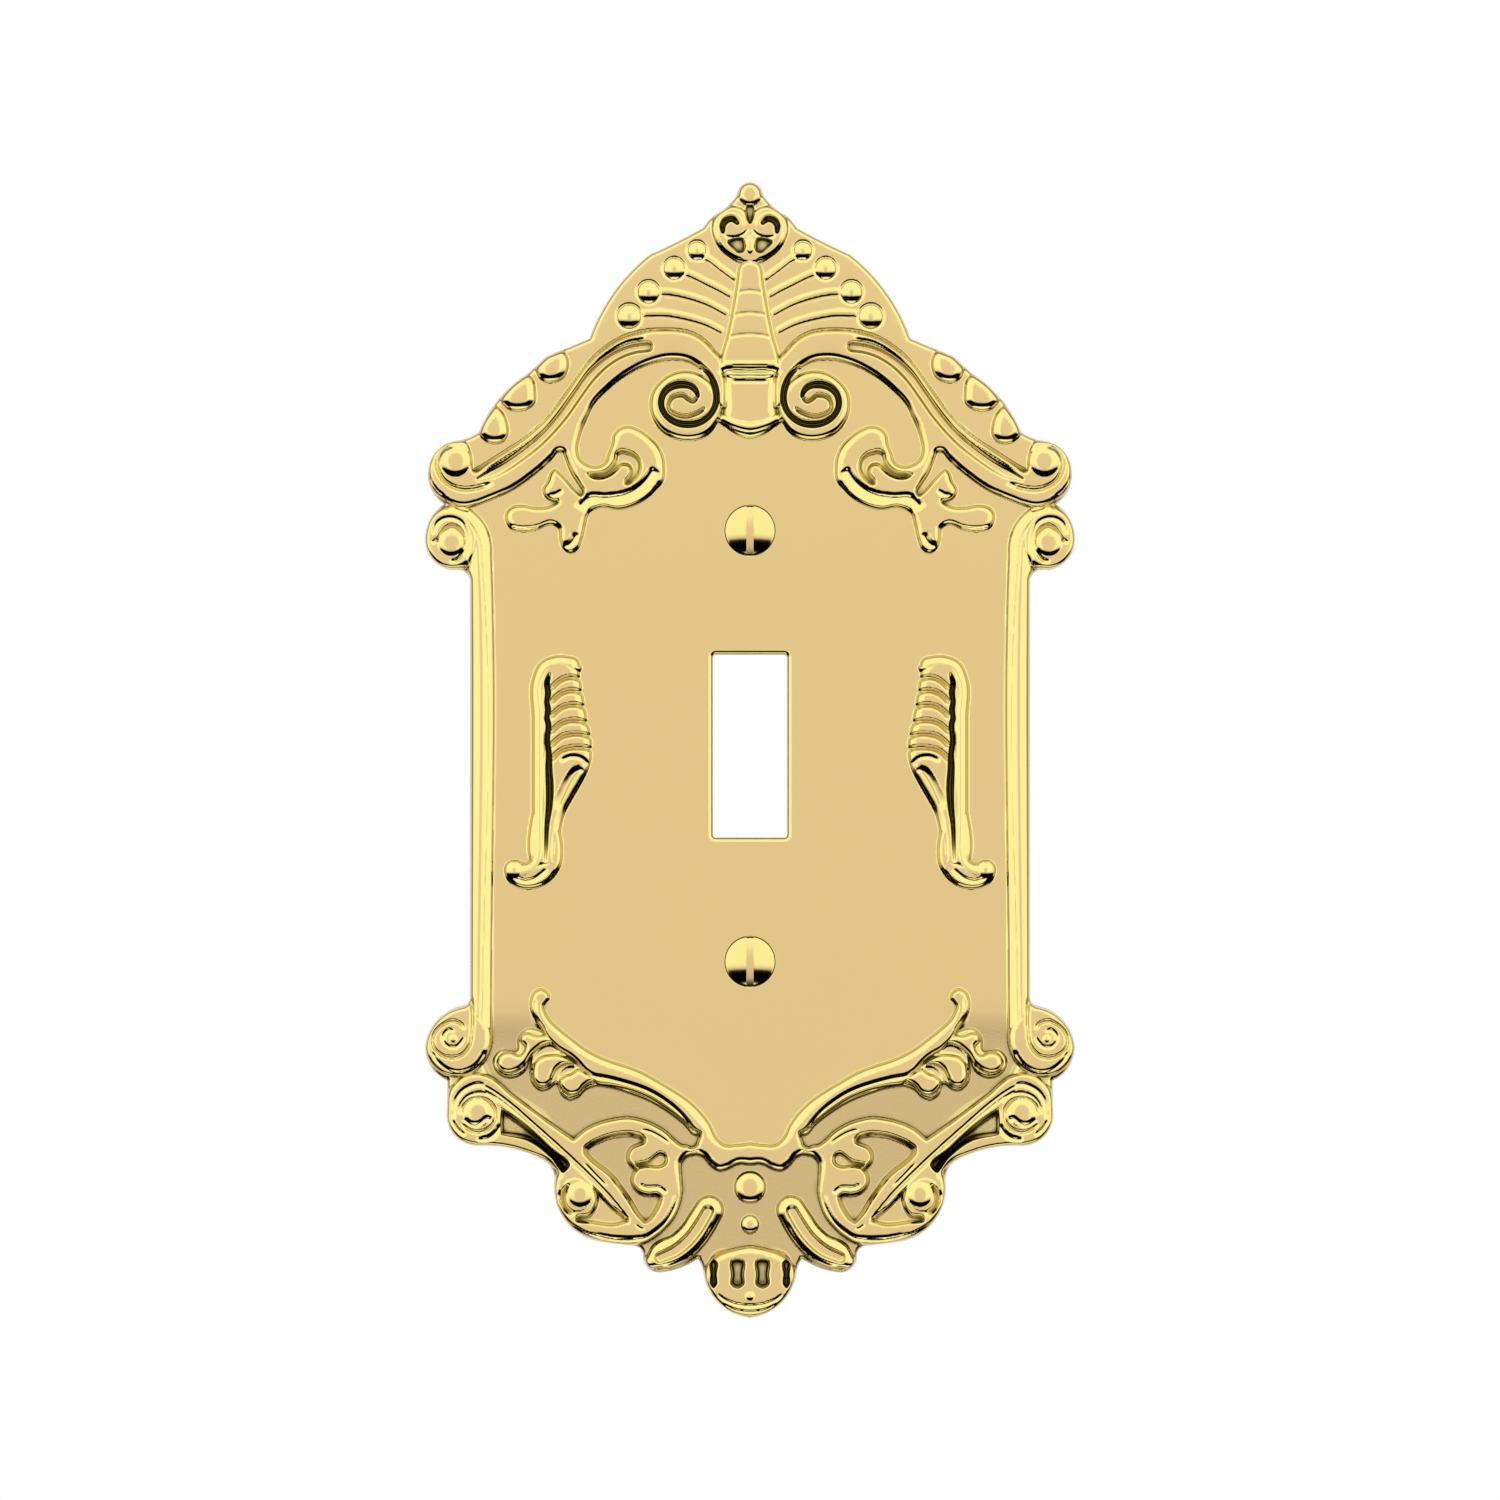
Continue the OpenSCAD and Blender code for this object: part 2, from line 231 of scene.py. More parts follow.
def bead(x, z, r, base, edge=50, flat=0.1):
    """Dome that leaves its base at an angle in degrees. Its crown is flat over a share of r."""
    rows = slice(*np.searchsorted(Z, (z - r, z + r)))
    cols = slice(*np.searchsorted(X, (x - r, x + r)))
    d = np.hypot(X[cols] - x, Z[rows, None] - z)
    edge = math.radians(edge)
    ball = r * (1 - flat) / math.sin(edge)
    crown = flat * r
    rise = base - ball * math.cos(edge) + np.sqrt(ball ** 2 - np.clip(d - crown, 0, r - crown) ** 2)
    H[rows, cols] = np.where(d < r, np.maximum(H[rows, cols], rise), H[rows, cols])


def ring(x, z, r, start, end):
    """Points of an arc about a centre, from one angle in degrees to another."""
    n = max(2, math.ceil(abs(end - start) / 20))
    angles = np.radians(np.linspace(start, end, n + 1))
    return [(x + r * math.cos(a), z + r * math.sin(a)) for a in angles]


# ---- Lines that several mouldings share ----
RIBBON_TOP = [
    (-38.6, 38.6), (-36, 40.1), (-34, 41.4), (-32, 42.7), (-30, 44.3), (-28.2, 46.1), (-26.2, 48.7),
    (-24.4, 51.3), (-22.5, 53.8), (-20.6, 55.5), (-18.5, 56.9), (-16.5, 57.7), (-14, 58.2),
    (-12, 58.3), (-10, 58.2), (-8.5, 57.9), (-7, 57.2), (-5.8, 56.2), (-4.8, 55.1), (-4.1, 54.4)]


def crest():
    """Everything above the ribbon: ground, stem, ribs, beads, heart scroll and finial."""
    pad([(-46, 38)] + RIBBON_TOP + [(2, 54.4), (2, 82), (-46, 82)], CREST_GROUND, 0.3)
    for rib in ([(-8.1, 68.4), (-6.4, 68.3), (-4.2, 66.8), (-1.9, 65.1)],
                [(-9.8, 66.4), (-8, 65.7), (-6, 64.7), (-4.2, 63.8), (-2.5, 62.8)],
                [(-12.9, 63.4), (-11, 63.3), (-9, 62.9), (-6, 61.9), (-3, 60.3)],
                [(-15.2, 60.3), (-12, 60.4), (-9, 59.9), (-6, 59), (-3.7, 57.8)]):
        stroke([(x, z + 0.35) for x, z in rib], (0.4, 0.9), 0.13, taper=0.3)
        stroke([(x, z - 0.3) for x, z in rib], (0.16, 0.3), -0.07)
    pad([(2, 67.9), (-1.3, 67.5), (-1.95, 64.5), (-2.55, 61), (-3.25, 57.5), (-4.1, 54.2),
         (-4.2, 52.8), (2, 52.8)], 1.45, 0.6, base=0.3)
    for z, w in ((63.6, 2.0), (60.5, 2.5), (57.5, 3.0)):
        stroke([(-w, z - 0.4), (-0.6 * w, z - 0.1), (0.4 - w * 0.4, z), (0, z + 0.05), (1, z)],
               (0.45, 0.2), -0.1, taper=0)
    heart = [(-1.4, 67.6), (-2.9, 68.4), (-4.1, 69.4), (-5, 70.8), (-5.4, 72.3), (-5.1, 73.8),
             (-4.2, 75), (-2.8, 75.6), (-1.4, 75.4), (-0.4, 74.8), (2, 74.6), (2, 67.4)]
    pad(heart, 1.25, 0.8, base=0.35)
    stroke([(-0.6, 68), (-2.4, 68.6), (-3.9, 69.8), (-4.6, 71.4), (-4.6, 73), (-3.9, 74.3),
            (-2.8, 74.8), (-1.6, 74.5), (-0.9, 73.6), (-0.9, 72.6)], 0.25, -0.08)
    channel([(-1.8, 73.2, 0.35, 0.2), (-2.5, 73.75, 0.5, -0.3), (-3.2, 73.6, 0.5, -0.5),
             (-3.8, 72.9, 0.5, -0.5), (-3.8, 72, 0.35, 0)], flat=0.2)
    stroke([(-3.6, 71.5), (-3, 71.2), (-1.9, 71.2), (-0.9, 71.6), (-0.3, 72.4)], 0.3, -0.2)
    sink([(-3.2, 70.6), (-2.2, 71.1), (-1, 71.1), (-0.95, 69), (-1.6, 68.9), (-2.4, 69.5)],
         -0.4, 0.35)
    pad([(2, 71.8), (-0.35, 71.6), (-0.8, 70.4), (-0.75, 69.2), (-0.35, 68.7), (2, 68.6)],
        1.5, 0.7, base=0.3)
    sink([(2, 75.6), (-0.65, 75.4), (-0.7, 74.8), (-0.1, 73), (2, 73)], -0.3, 0.35)
    for x, z, r in ((-7.4, 69.4, 1.25), (-10.6, 66.9, 1.45), (-14.2, 63.6, 1.5),
                    (-16.9, 60.2, 1.65)):
        stroke(ring(x, z - 0.1, r + 0.1, 0, 360), 0.25, -0.14, taper=0)
        bead(x, z - 0.05, r, CREST_GROUND)
    bead(0, 77.3, 1.7, CREST_GROUND, edge=60, flat=0.45)
    for tear in ([(-35.6, 47.6), (-34.4, 46.6), (-33.8, 45), (-33.8, 43.5), (-34.4, 42.7),
                  (-35.6, 42.3), (-36.9, 42.6), (-38, 43.7), (-38, 45), (-36.9, 46.6)],
                 [(-31, 52), (-30.2, 51.2), (-29.9, 49.6), (-30, 48.1), (-31, 47.2), (-32.4, 46.9),
                  (-33.9, 47.2), (-34.9, 48.3), (-34.3, 50), (-32.8, 51.4)],
                 [(-26.3, 55.4), (-25.5, 54.6), (-25.3, 53.2), (-25.8, 51.8), (-27, 51),
                  (-28.5, 50.9), (-29.7, 51.7), (-30, 53.1), (-29, 54.5), (-27.6, 55.3)]):
        pad(tear, CREST_GROUND + 1.15, 1.35, base=CREST_GROUND - 0.2)


def scroll():
    """Ribbon over the shoulder, the great scroll at its end, the acanthus curl and the finger."""
    ribbon = [(x, z, 0.6) for x, z in RIBBON_TOP] + [
        (-3.6, 52, 0.5), (-3.4, 49, 0.5), (-3.8, 47.2, 0.5), (-4.6, 47.6, 1), (-5.2, 48.8, 1.1),
        (-5.4, 50, 1.2), (-6, 51.5, 1.2), (-7, 52.8, 1.2), (-8.7, 53.8, 1.2), (-11, 54.1, 1.2),
        (-14, 53.5, 1.1), (-17, 52.1, 1), (-20, 49.8, 0.9), (-21.9, 47.7, 0.9),
        (-22.7, 46, 0.9), (-23.4, 44.4, 1), (-23.85, 43, 0.9), (-24.1, 41.6, 0.9),
        (-23.8, 40.3, 0.9), (-22.7, 39.4, 0.9), (-21.2, 39.2, 0.9), (-20.2, 39.8, 0.8),
        (-19.9, 40.8, 0.7), (-19.6, 41.5, 0.6), (-19.3, 42.4, 0.8), (-19.2, 43.4, 1),
        (-18.4, 44.4, 1), (-17, 44.8, 1), (-15.5, 44.3, 1), (-14.2, 43.4, 1), (-12.8, 42, 1.1),
        (-12.1, 40.5, 1.2), (-11.9, 39, 1.2), (-12.1, 37.2, 1), (-13.2, 35.8, 0.8),
        (-15.1, 34.3, 0.5), (-18.4, 33.2, 0.5), (-20.7, 33.5, 0.5), (-22.4, 32.8, 0.6),
        (-23, 31, 0.9), (-23.5, 29, 0.7), (-24.1, 27.6, 0.5), (-25.1, 27, 0.5), (-26.1, 27.6, 0.5),
        (-26.6, 29, 0.6), (-26.8, 30.5, 0.8), (-27.6, 31, 0.8), (-30, 30.3, 0.8),
        (-32, 30.1, 0.8), (-33.6, 30.5, 0.9), (-34.2, 31.6, 1), (-34.1, 32.8, 0.9),
        (-33.3, 33.5, 0.8), (-32, 33.7, 0.7), (-30, 33.4, 0.7), (-28, 33.6, 0.7), (-27, 34.2, 0.6),
        (-27.6, 34.3, 0.7), (-28.6, 34.8, 0.8), (-29, 35.9, 0.9), (-28.3, 37.1, 0.9),
        (-27.8, 38.4, 0.8), (-27.3, 38.8, 0.7), (-26.7, 38.3, 0.6), (-25.5, 37, 0.5),
        (-24.3, 35.6, 0.4), (-23.6, 35.1, 0.4), (-23.4, 35.5, 0.5), (-23.9, 36.4, 0.7),
        (-24.9, 37.9, 0.9), (-25.5, 39.2, 1), (-25.9, 40.4, 0.9), (-26.3, 41.2, 0.9),
        (-26.8, 41.2, 0.9), (-27.6, 40.3, 1), (-29.2, 38.8, 1), (-30.7, 37.6, 1),
        (-32.2, 36.5, 1), (-33.7, 35.6, 1), (-35.3, 34.9, 1), (-36.8, 34.3, 1), (-38.4, 33.7, 1),
        (-40, 33.4, 1), (-41.6, 33.7, 1), (-43.4, 34.8, 1), (-45.2, 36.5, 1), (-46, 38.5, 1),
        (-45.4, 41.4, 1), (-43.6, 43.2, 1), (-41, 43.4, 0.9), (-39.6, 42.6, 0.8),
        (-38.9, 41.2, 0.8), (-38.7, 39.8, 0.7)]
    pad(ribbon, TOP, 1)
    disc = [(-3.9, 48.6), (-4, 46.8), (-4.7, 45), (-5.4, 44), (-6.6, 43.2), (-8.6, 42.8),
            (-10.8, 43.2), (-12.5, 44.2), (-13.6, 45.9), (-14, 47.8), (-13.6, 49.7), (-12.5, 51.1),
            (-11, 52.1), (-9.3, 52.5), (-7.4, 52.2), (-6, 51.4), (-4.9, 50.2)]
    pad(disc, TOP, 0.9)
    stroke([(-38, 38.5), (-36, 39.7), (-34, 41), (-32, 42.4), (-30, 44.1), (-28, 46), (-26, 48.4),
            (-24.2, 51.2), (-22.2, 53.7), (-20, 55.4), (-17.5, 56.8), (-14.5, 57.4)],
           (0.5, 0.4), 0.2)
    channel([(-38, 37.3, 0.35, 0.9), (-36, 38.15, 0.85, 0.7), (-34, 39.25, 0.9, 0.6),
             (-32, 40.65, 0.9, 0.5), (-30, 42.2, 0.9, 0.4), (-28, 44.1, 0.85, 0.35),
             (-26, 46.45, 0.85, 0.3), (-24, 49.3, 0.85, 0.25), (-22, 52, 0.9, 0.2),
             (-20, 53.8, 0.85, 0.2), (-18, 55, 0.85, 0.15), (-16, 55.65, 0.85, 0.15),
             (-14.3, 55.85, 0.85, 0.15)], flat=0.35)
    channel([(-6.9, 52.9, 0.45, 0.1), (-5.9, 52.2, 0.45, -0.4), (-5.05, 50.8, 0.5, -0.7),
             (-4.7, 49.3, 0.5, -0.7), (-4.8, 47.8, 0.5, -0.7), (-5.6, 46.3, 0.45, -0.7),
             (-7, 45.3, 0.5, -0.8), (-8.7, 45, 0.55, -0.9), (-10.4, 45.3, 0.5, -0.8),
             (-11.7, 46.2, 0.45, -0.7), (-12.4, 47.6, 0.45, -0.8), (-12.2, 49.1, 0.5, -0.8),
             (-11.3, 50.1, 0.55, -0.9), (-9.5, 50.6, 0.6, -0.9), (-8.4, 50.4, 0.5, -0.8),
             (-7.5, 49.6, 0.4, -0.5), (-7.3, 49, 0.3, 0)], flat=0.2)
    stroke([(-7.2, 49), (-8, 48.2), (-8.7, 48.5), (-9.3, 49), (-10.2, 49), (-11, 48.6),
            (-11.4, 47.7), (-11.2, 46.9), (-10.4, 46.4), (-9, 46.1), (-7.5, 46.5), (-6.2, 47.3)],
           0.32, -0.7)
    # Pit under the acanthus curl, and the step along the curl's back
    sink([(-19, 41.1), (-18.3, 41.6), (-17, 41.5), (-15.9, 41), (-15.2, 40.1), (-15, 39),
          (-15.4, 37.7), (-16.2, 36.8), (-17, 36.3), (-17.7, 36.5), (-17.7, 37.2), (-17.2, 37.9),
          (-17, 38.5), (-17.3, 39), (-17.8, 39), (-18.4, 38.4), (-19.4, 37.6), (-21, 37.1),
          (-22.2, 37.3), (-23, 38.1), (-22, 38.5), (-20.8, 38.6), (-19.9, 39.1), (-19.3, 39.9)],
         -0.1, 0.75)
    fall([(-24, 33.1), (-23.5, 33.9), (-22.6, 34.7), (-20, 34.8), (-17.5, 35.2), (-16, 35.9),
          (-14.8, 36.9), (-13.3, 39)], 0.5, 0.3, 1.5)
    fall([(-13.8, 35.5), (-13, 36.4), (-12.8, 37.2)], 0.3, 0.1, 0.4)
    # Shoulder volute
    bead(-41.2, 39.9, 2.2, TOP - 0.05, edge=52, flat=0.45)
    stroke([(-41.3, 41.2), (-41.5, 41.8), (-42.6, 41.7), (-43.4, 41), (-43.8, 40), (-43.6, 38.5),
            (-42.8, 37.1), (-41.8, 36.4), (-40.2, 35.9), (-38.5, 36), (-36, 36.8)], 0.45, -0.4,
           taper=1.5)
    stroke([(-44.9, 41), (-45.1, 39), (-44.7, 37.4), (-43.8, 35.9), (-42.6, 34.9)], 0.3, -0.2)
    # Finger, tail and small leaf
    fall([(-33.6, 30.8), (-31.8, 30.5), (-30, 30.6), (-28, 31), (-26.8, 31.1)], 0.25, 0.1, 0.3)
    fall([(-26.3, 27.9), (-25.4, 28.1), (-24.7, 28.8), (-24.2, 29.9)], 0.7, 0.15, 0.5)
    fall([(-28.3, 35.2), (-27.4, 35.2), (-26.2, 35.9)], 0.3, 0.15, 0.5)


def keystone():
    """Cap, panel and roll that close the great scrolls at the centre."""
    pad([(2, 52.7), (-3.3, 52.4), (-3.7, 50), (-3.6, 47.5), (-3.8, 46.2), (-4.1, 45.3),
         (-3.3, 44.6), (-2.3, 43.9), (-1.2, 43.4), (2, 43.1)], 1.0, 1.1)
    pad([(2, 54.4), (2, 54.4), (-4.2, 54.4), (-4.2, 54.4), (-4.3, 52.7), (-3.9, 51.9),
         (-3.1, 51.5), (2, 51.5), (2, 51.5)], 1.65, 0.95)
    stroke([(-2.6, 53.3), (0, 53.3), (1, 53.3)], 0.14, -0.06, taper=0.3)
    fall([(-4, 51.7), (-3.4, 52.35), (-2.6, 52.5), (0, 52.5), (1, 52.5)], 0.55, 0.3, 0.5)
    stroke([(-2.5, 51), (0, 51), (1, 51)], 0.3, -0.15, taper=0.3)
    band([(-3.6, 45.9, 0.7, 0.9, 1.25), (-2, 45.1, 0.8, 0.9, 1.4), (0, 44.7, 0.9, 1.1, 1.45),
          (1, 44.8, 0.9, 1.1, 1.45)])


def pilaster():
    """Upright moulding along the side and the volute at each of its ends."""
    band([(-38, -40.5, 1.6, 1.9, 1.2), (-38, -36, 1.6, 1.9, 1.2), (-38, 26, 1.6, 1.9, 1.2),
          (-38.1, 28.4, 1.6, 1.9, 1.2), (-38.7, 30.3, 1.6, 1.8, 1.2), (-39.9, 31.9, 1.6, 1.5, 1.2),
          (-41.6, 32.6, 1.6, 1.2, 1.2)])
    # Upper volute
    pad(ring(-42.2, 28.9, 4.6, 0, 330), 1.25, 1.1)
    stroke([(-37.65, -43), (-37.65, 26), (-37.9, 28.6), (-38.6, 30.3), (-39.6, 31.6)], 0.13, -0.1)
    fall([(-44.5, 29.6), (-44.2, 30.2), (-43.9, 31), (-43, 31.75), (-41.8, 31.95), (-41, 31.75),
          (-40.2, 31.2), (-39.8, 30.4), (-39.4, 29), (-39.3, 27), (-39.2, 25.2)], 0.3, 0.15, 0.4)
    stroke([(-44.6, 28.4), (-43.7, 28.9), (-43.2, 29.6), (-42.6, 30.4), (-41.9, 30.8),
            (-41, 30.6), (-40.3, 29.9), (-40, 28.8), (-40, 27.6)], 0.35, -0.4)
    bead(-41.8, 28.5, 1.9, TOP, edge=48, flat=0.5)
    stroke([(-40.1, 27.6), (-40.4, 26.6), (-41, 26), (-42, 25.8)], 0.4, -0.35)
    stroke([(-41.3, 33.5), (-40.2, 33.1), (-39.2, 32.9)], 0.25, -0.25, taper=0.4)
    # Lower volute
    pad([(-36.1, -40), (-36.2, -42), (-36.7, -43.4), (-37.5, -44.6), (-38.8, -45.7),
         (-40.6, -46.2), (-42.6, -46), (-44.3, -44.9), (-45.8, -43), (-46.1, -41), (-45.5, -38.6),
         (-43.4, -36.8), (-41, -36), (-39.3, -35.6), (-38, -37)], 1.25, 1.0)
    fall([(-44.3, -42.6), (-43.9, -43.8), (-43, -44.75), (-42, -45.35), (-40.7, -45.65),
          (-39.5, -45.35), (-38.5, -44.75), (-37.6, -43.6), (-37, -42.5)], 0.35, 0.15, 0.5)
    stroke([(-38.9, -35), (-38.9, -40), (-39.3, -42), (-40.3, -43.2), (-41.7, -43.6),
            (-43, -43.3), (-44.2, -42.2), (-44.4, -40.9), (-43.9, -39.8), (-43, -39),
            (-41.7, -38.5), (-40.4, -38.9), (-39.9, -39.7)], 0.33, -0.35)
    stroke([(-40, -40.6), (-40.4, -41.4), (-41.2, -42.1), (-42.2, -42), (-42.9, -41.2),
            (-42.8, -40.3), (-42.1, -39.7), (-41.3, -39.9)], 0.3, -0.25)
    bead(-41.5, -40.9, 0.7, 1.1)


def bracket():
    """Bar with a comb of leaves on its right and a foot that curls to the left."""
    band([(-25, 11.3, 1.5, 1.2, 1.1), (-26.8, 11.5, 1.2, 1.2, 1.15), (-28.5, 10.9, 1.2, 1.2, 1.2),
          (-29.4, 9.2, 0.9, 1.1, 1.25), (-29.4, 4, 0.9, 1.1, 1.25), (-29.4, -2, 0.9, 1.1, 1.25),
          (-29.4, -8, 0.9, 1.1, 1.25), (-29.4, -12.5, 0.9, 1.1, 1.25),
          (-29.4, -14.8, 0.9, 1.1, 1.25), (-30, -16.6, 1.0, 1.0, 1.2),
          (-31.4, -17.6, 1.3, 1.3, 1.2), (-32.6, -17.7, 1.7, 1.7, 1.2)])
    # Body that carries the leaves, and the stem below it
    pad([(-28.6, 11.9), (-27, 12.5), (-25.3, 12.2), (-24.3, 11.3), (-23.8, 10), (-23.5, 7.9),
         (-23.1, 5.6), (-22.7, 3.4), (-22.2, 1.2), (-22.1, -0.4), (-22.2, -1.8), (-22.6, -3.2),
         (-23.7, -5.4), (-24.8, -7.3), (-25.9, -9.4), (-26.5, -12), (-26.8, -15), (-26.8, -17),
         (-28.8, -17.2), (-28.9, 0)], 1.15, 1.2)
    pad([(-28.7, -7), (-27.8, -9), (-26.7, -11.5), (-26.8, -17.4), (-28.2, -19), (-30.6, -19.9),
         (-32.8, -19.5), (-34, -18.4), (-33.4, -16.6), (-30.6, -16.6), (-28.8, -16.2)], 1.1, 0.65)
    for x, z in ((-24.3, 9.5), (-24, 7.6), (-23.8, 5.6), (-23.5, 3.4), (-23, 1.5), (-22.5, -0.4)):
        stroke([(-28, z - 1.7), (-27.3, z - 0.9), (-26.2, z - 0.1), (-25.2, z + 0.15), (x, z + 0.1),
                (x + 1.2, z - 0.2)], (0.4, 0.55), -0.55, taper=0.5)
    stroke([(-26.6, -2.2), (-25, -1.5), (-23.5, -1.8), (-22.6, -2.8)], (0.5, 0.3), -0.25)
    channel([(-28.05, 10, 0.3, 0.8), (-28.35, 9.2, 0.4, -0.5), (-28.25, 7.3, 0.45, -0.8),
             (-28.4, 6.2, 0.4, -0.8), (-28.25, 5, 0.45, -0.8), (-28.4, 4, 0.4, -0.8),
             (-28.2, 3, 0.45, -0.8), (-28.35, 1, 0.4, -0.8), (-28.15, -1, 0.45, -0.8),
             (-28.15, -3, 0.55, -0.9), (-28, -6, 0.6, -0.9), (-28.1, -8.5, 0.5, -0.8),
             (-28.4, -11, 0.35, -0.3), (-28.5, -13.5, 0.3, 0.2), (-28.6, -16, 0.25, 0.9)], flat=0.2)
    stroke([(-23.3, -3.2), (-24.4, -3.7), (-25.2, -4.8), (-25.9, -6.2), (-26.5, -7.6),
            (-26.8, -9)], (0.35, 0.9), -0.4, power=1.3, taper=1)
    stroke([(-33, -18.3), (-31.5, -18.8), (-30.4, -18.6), (-29.3, -17.9), (-28.5, -17.1)],
           (0.3, 0.6), -0.3)
    stroke([(-29, -19.4), (-28, -18.5), (-27.2, -17.3)], 0.35, -0.25)
    bead(-33, -17.3, 1.3, 0.9)


def foot_ground():
    """Sunk ground between the foot's bands."""
    sink([(-37, -34), (-30, -34), (-29.4, -38.6), (-28.4, -40), (-26.3, -42.2),
          (-23.5, -44.2), (-19, -45.7), (-14, -47.7), (-9.5, -51), (-6.6, -54.4),
          (-7, -56.2), (-8.8, -56.6), (-10.6, -56), (-13, -54.3), (-17, -52.8),
          (-21, -53.4), (-24.8, -55.4), (-30, -51.4), (-37, -46.4)], LOW_GROUND, 1, fade=(-35, -43))
    sink([(3, -57), (-2, -57), (-4.3, -57.6), (-6.4, -56.4), (-8.4, -55.9), (-10.6, -57.4),
          (-10.6, -62), (-11.2, -65), (-13, -67.6), (-16, -69.4), (-16, -74), (-6, -74),
          (-5, -71.6), (3, -71)], LOW_GROUND, 0.6)


def foot_band():
    """S-shaped band that closes the field, with the foliage under its start."""
    # Plinth under the foliage and the band's lower edge
    pad([(-30.6, -43), (-31.6, -45.6), (-33.2, -46.4), (-34.8, -46.1), (-35.8, -45), (-35.9, -43.8),
         (-35, -42.6), (-32.6, -42.6), (-32.4, -40.6), (-31.4, -39.6), (-28.8, -40), (-24, -44.6),
         (-16, -47), (-8, -53), (-7, -54.4), (-7.8, -54.4), (-9.3, -52.9), (-11.5, -51.2),
         (-14, -49.7), (-16.5, -48.7), (-19, -47.9), (-21.8, -47.6), (-23, -48.1), (-24, -49.1),
         (-25.3, -49.5), (-26.5, -48.7), (-27.1, -47.2), (-28.2, -48), (-29.3, -48.2),
         (-30.5, -47.2)], 0.25, 0.4, base=LOW_GROUND)
    lower = [(-7, -54.3, 0.5), (-8, -53.7, 0.5), (-9.9, -52, 0.5), (-12, -50.5, 0.5),
             (-14.5, -49, 0.5), (-16.9, -48.1, 0.5), (-19.2, -47.6, 0.5), (-21.6, -47.2, 0.5)]
    pad([(-30.7, -35.4, 0.6), (-30.2, -34.3, 0.7), (-29.2, -33.9, 0.7), (-28.3, -34.4, 0.6),
         (-28, -35.2, 0.5), (-28.5, -35.8, 0.4), (-28.9, -36.4, 0.4), (-28.6, -37.2, 0.6),
         (-28, -38.2, 0.8), (-26.5, -39.6, 1), (-25, -40.8, 1.1), (-23, -42.3, 1.1),
         (-21, -43.4, 1.1), (-19.5, -44, 1.1), (-17, -44.8, 1.1), (-15, -45.6, 1.1),
         (-12.5, -47, 1.1), (-10.5, -48.2, 1.2), (-9, -49.2, 1.3), (-7, -51, 1.4), (-5.5, -53, 1.4),
         (-4.6, -54.8, 1), (-3.6, -55.7, 0.7), (-1.6, -55.7, 0.7), (2, -55.6, 0.7),
         (2, -58.3, 1.1), (-1.9, -58.5, 1.1), (-3.3, -59.2, 1.1), (-4.3, -59.4, 1.1),
         (-5.6, -58.6, 1.1), (-6.5, -57.5, 1.1), (-7.4, -57.1, 1.1), (-8.4, -57.2, 1.1),
         (-8.6, -56.3, 0.7), (-7.6, -55.9, 0.6), (-7.3, -55, 0.7)]
        + lower + [(-23, -45.8, 0.9), (-25, -43.6, 0.8), (-27, -42.3, 0.7), (-28.4, -40.8, 0.6),
                   (-29.2, -39.4, 0.6), (-30.2, -38, 0.6), (-30.7, -36.8, 0.6)], TOP, 1)
    stroke([(-30.1, -35.2), (-30.1, -37), (-29.6, -38.4), (-28.6, -39.8)], 0.3, -0.15)
    # Foliage: three lobes with a pit between each pair
    pad([(-35.6, -44.3), (-35, -43), (-33.6, -42.6), (-32.2, -43), (-31.7, -42.2), (-32.3, -41.3),
         (-32.1, -40.2), (-31.2, -39.9), (-29.8, -40.3), (-28.6, -40.2), (-27.2, -41.2),
         (-29.4, -42.3), (-30.4, -43.2), (-31.4, -44.7), (-32.6, -45.6), (-34, -45.9),
         (-35.1, -45.4)], TOP, 0.9, base=LOW_GROUND)
    pad([(-30.6, -45.4), (-30.2, -44), (-29.3, -43.3), (-28, -43), (-26.8, -43), (-25.6, -43.4),
         (-24.4, -44.6), (-25.6, -44.6), (-26.8, -45.2), (-27.4, -46.3), (-27.9, -47.3),
         (-28.8, -47.8), (-29.9, -47.5), (-30.5, -46.6)], TOP, 0.9, base=LOW_GROUND)
    pad([(-26.9, -46.8), (-26.3, -46), (-25.2, -45.7), (-24.2, -45), (-22.6, -45.6), (-20.6, -46.6),
         (-22, -47.1), (-23, -47.7), (-23.8, -48.6), (-25, -49), (-26.2, -48.4)], TOP, 0.9,
        base=LOW_GROUND)
    sink([(-30.6, -44.6), (-30.2, -43.2), (-29.3, -42.2), (-28, -41.7), (-27, -42.2),
          (-26.7, -43), (-28, -43.2), (-29.3, -43.6), (-30, -44.4)], 0.1, 0.4)
    sink([(-26.9, -46.5), (-26.5, -45.4), (-25.4, -44.7), (-24.3, -44.9), (-24.4, -45.6),
          (-25.5, -46), (-26.2, -46.7)], 0.1, 0.4)
    fall([(-23.3, -45.4), (-22, -46.1), (-20, -46.5), (-18, -47), (-16, -47.6), (-14, -48.4),
          (-12, -49.6), (-10, -51.2), (-8.5, -52.9), (-7.6, -54.2)], 0.45, 0.15, 0.3)


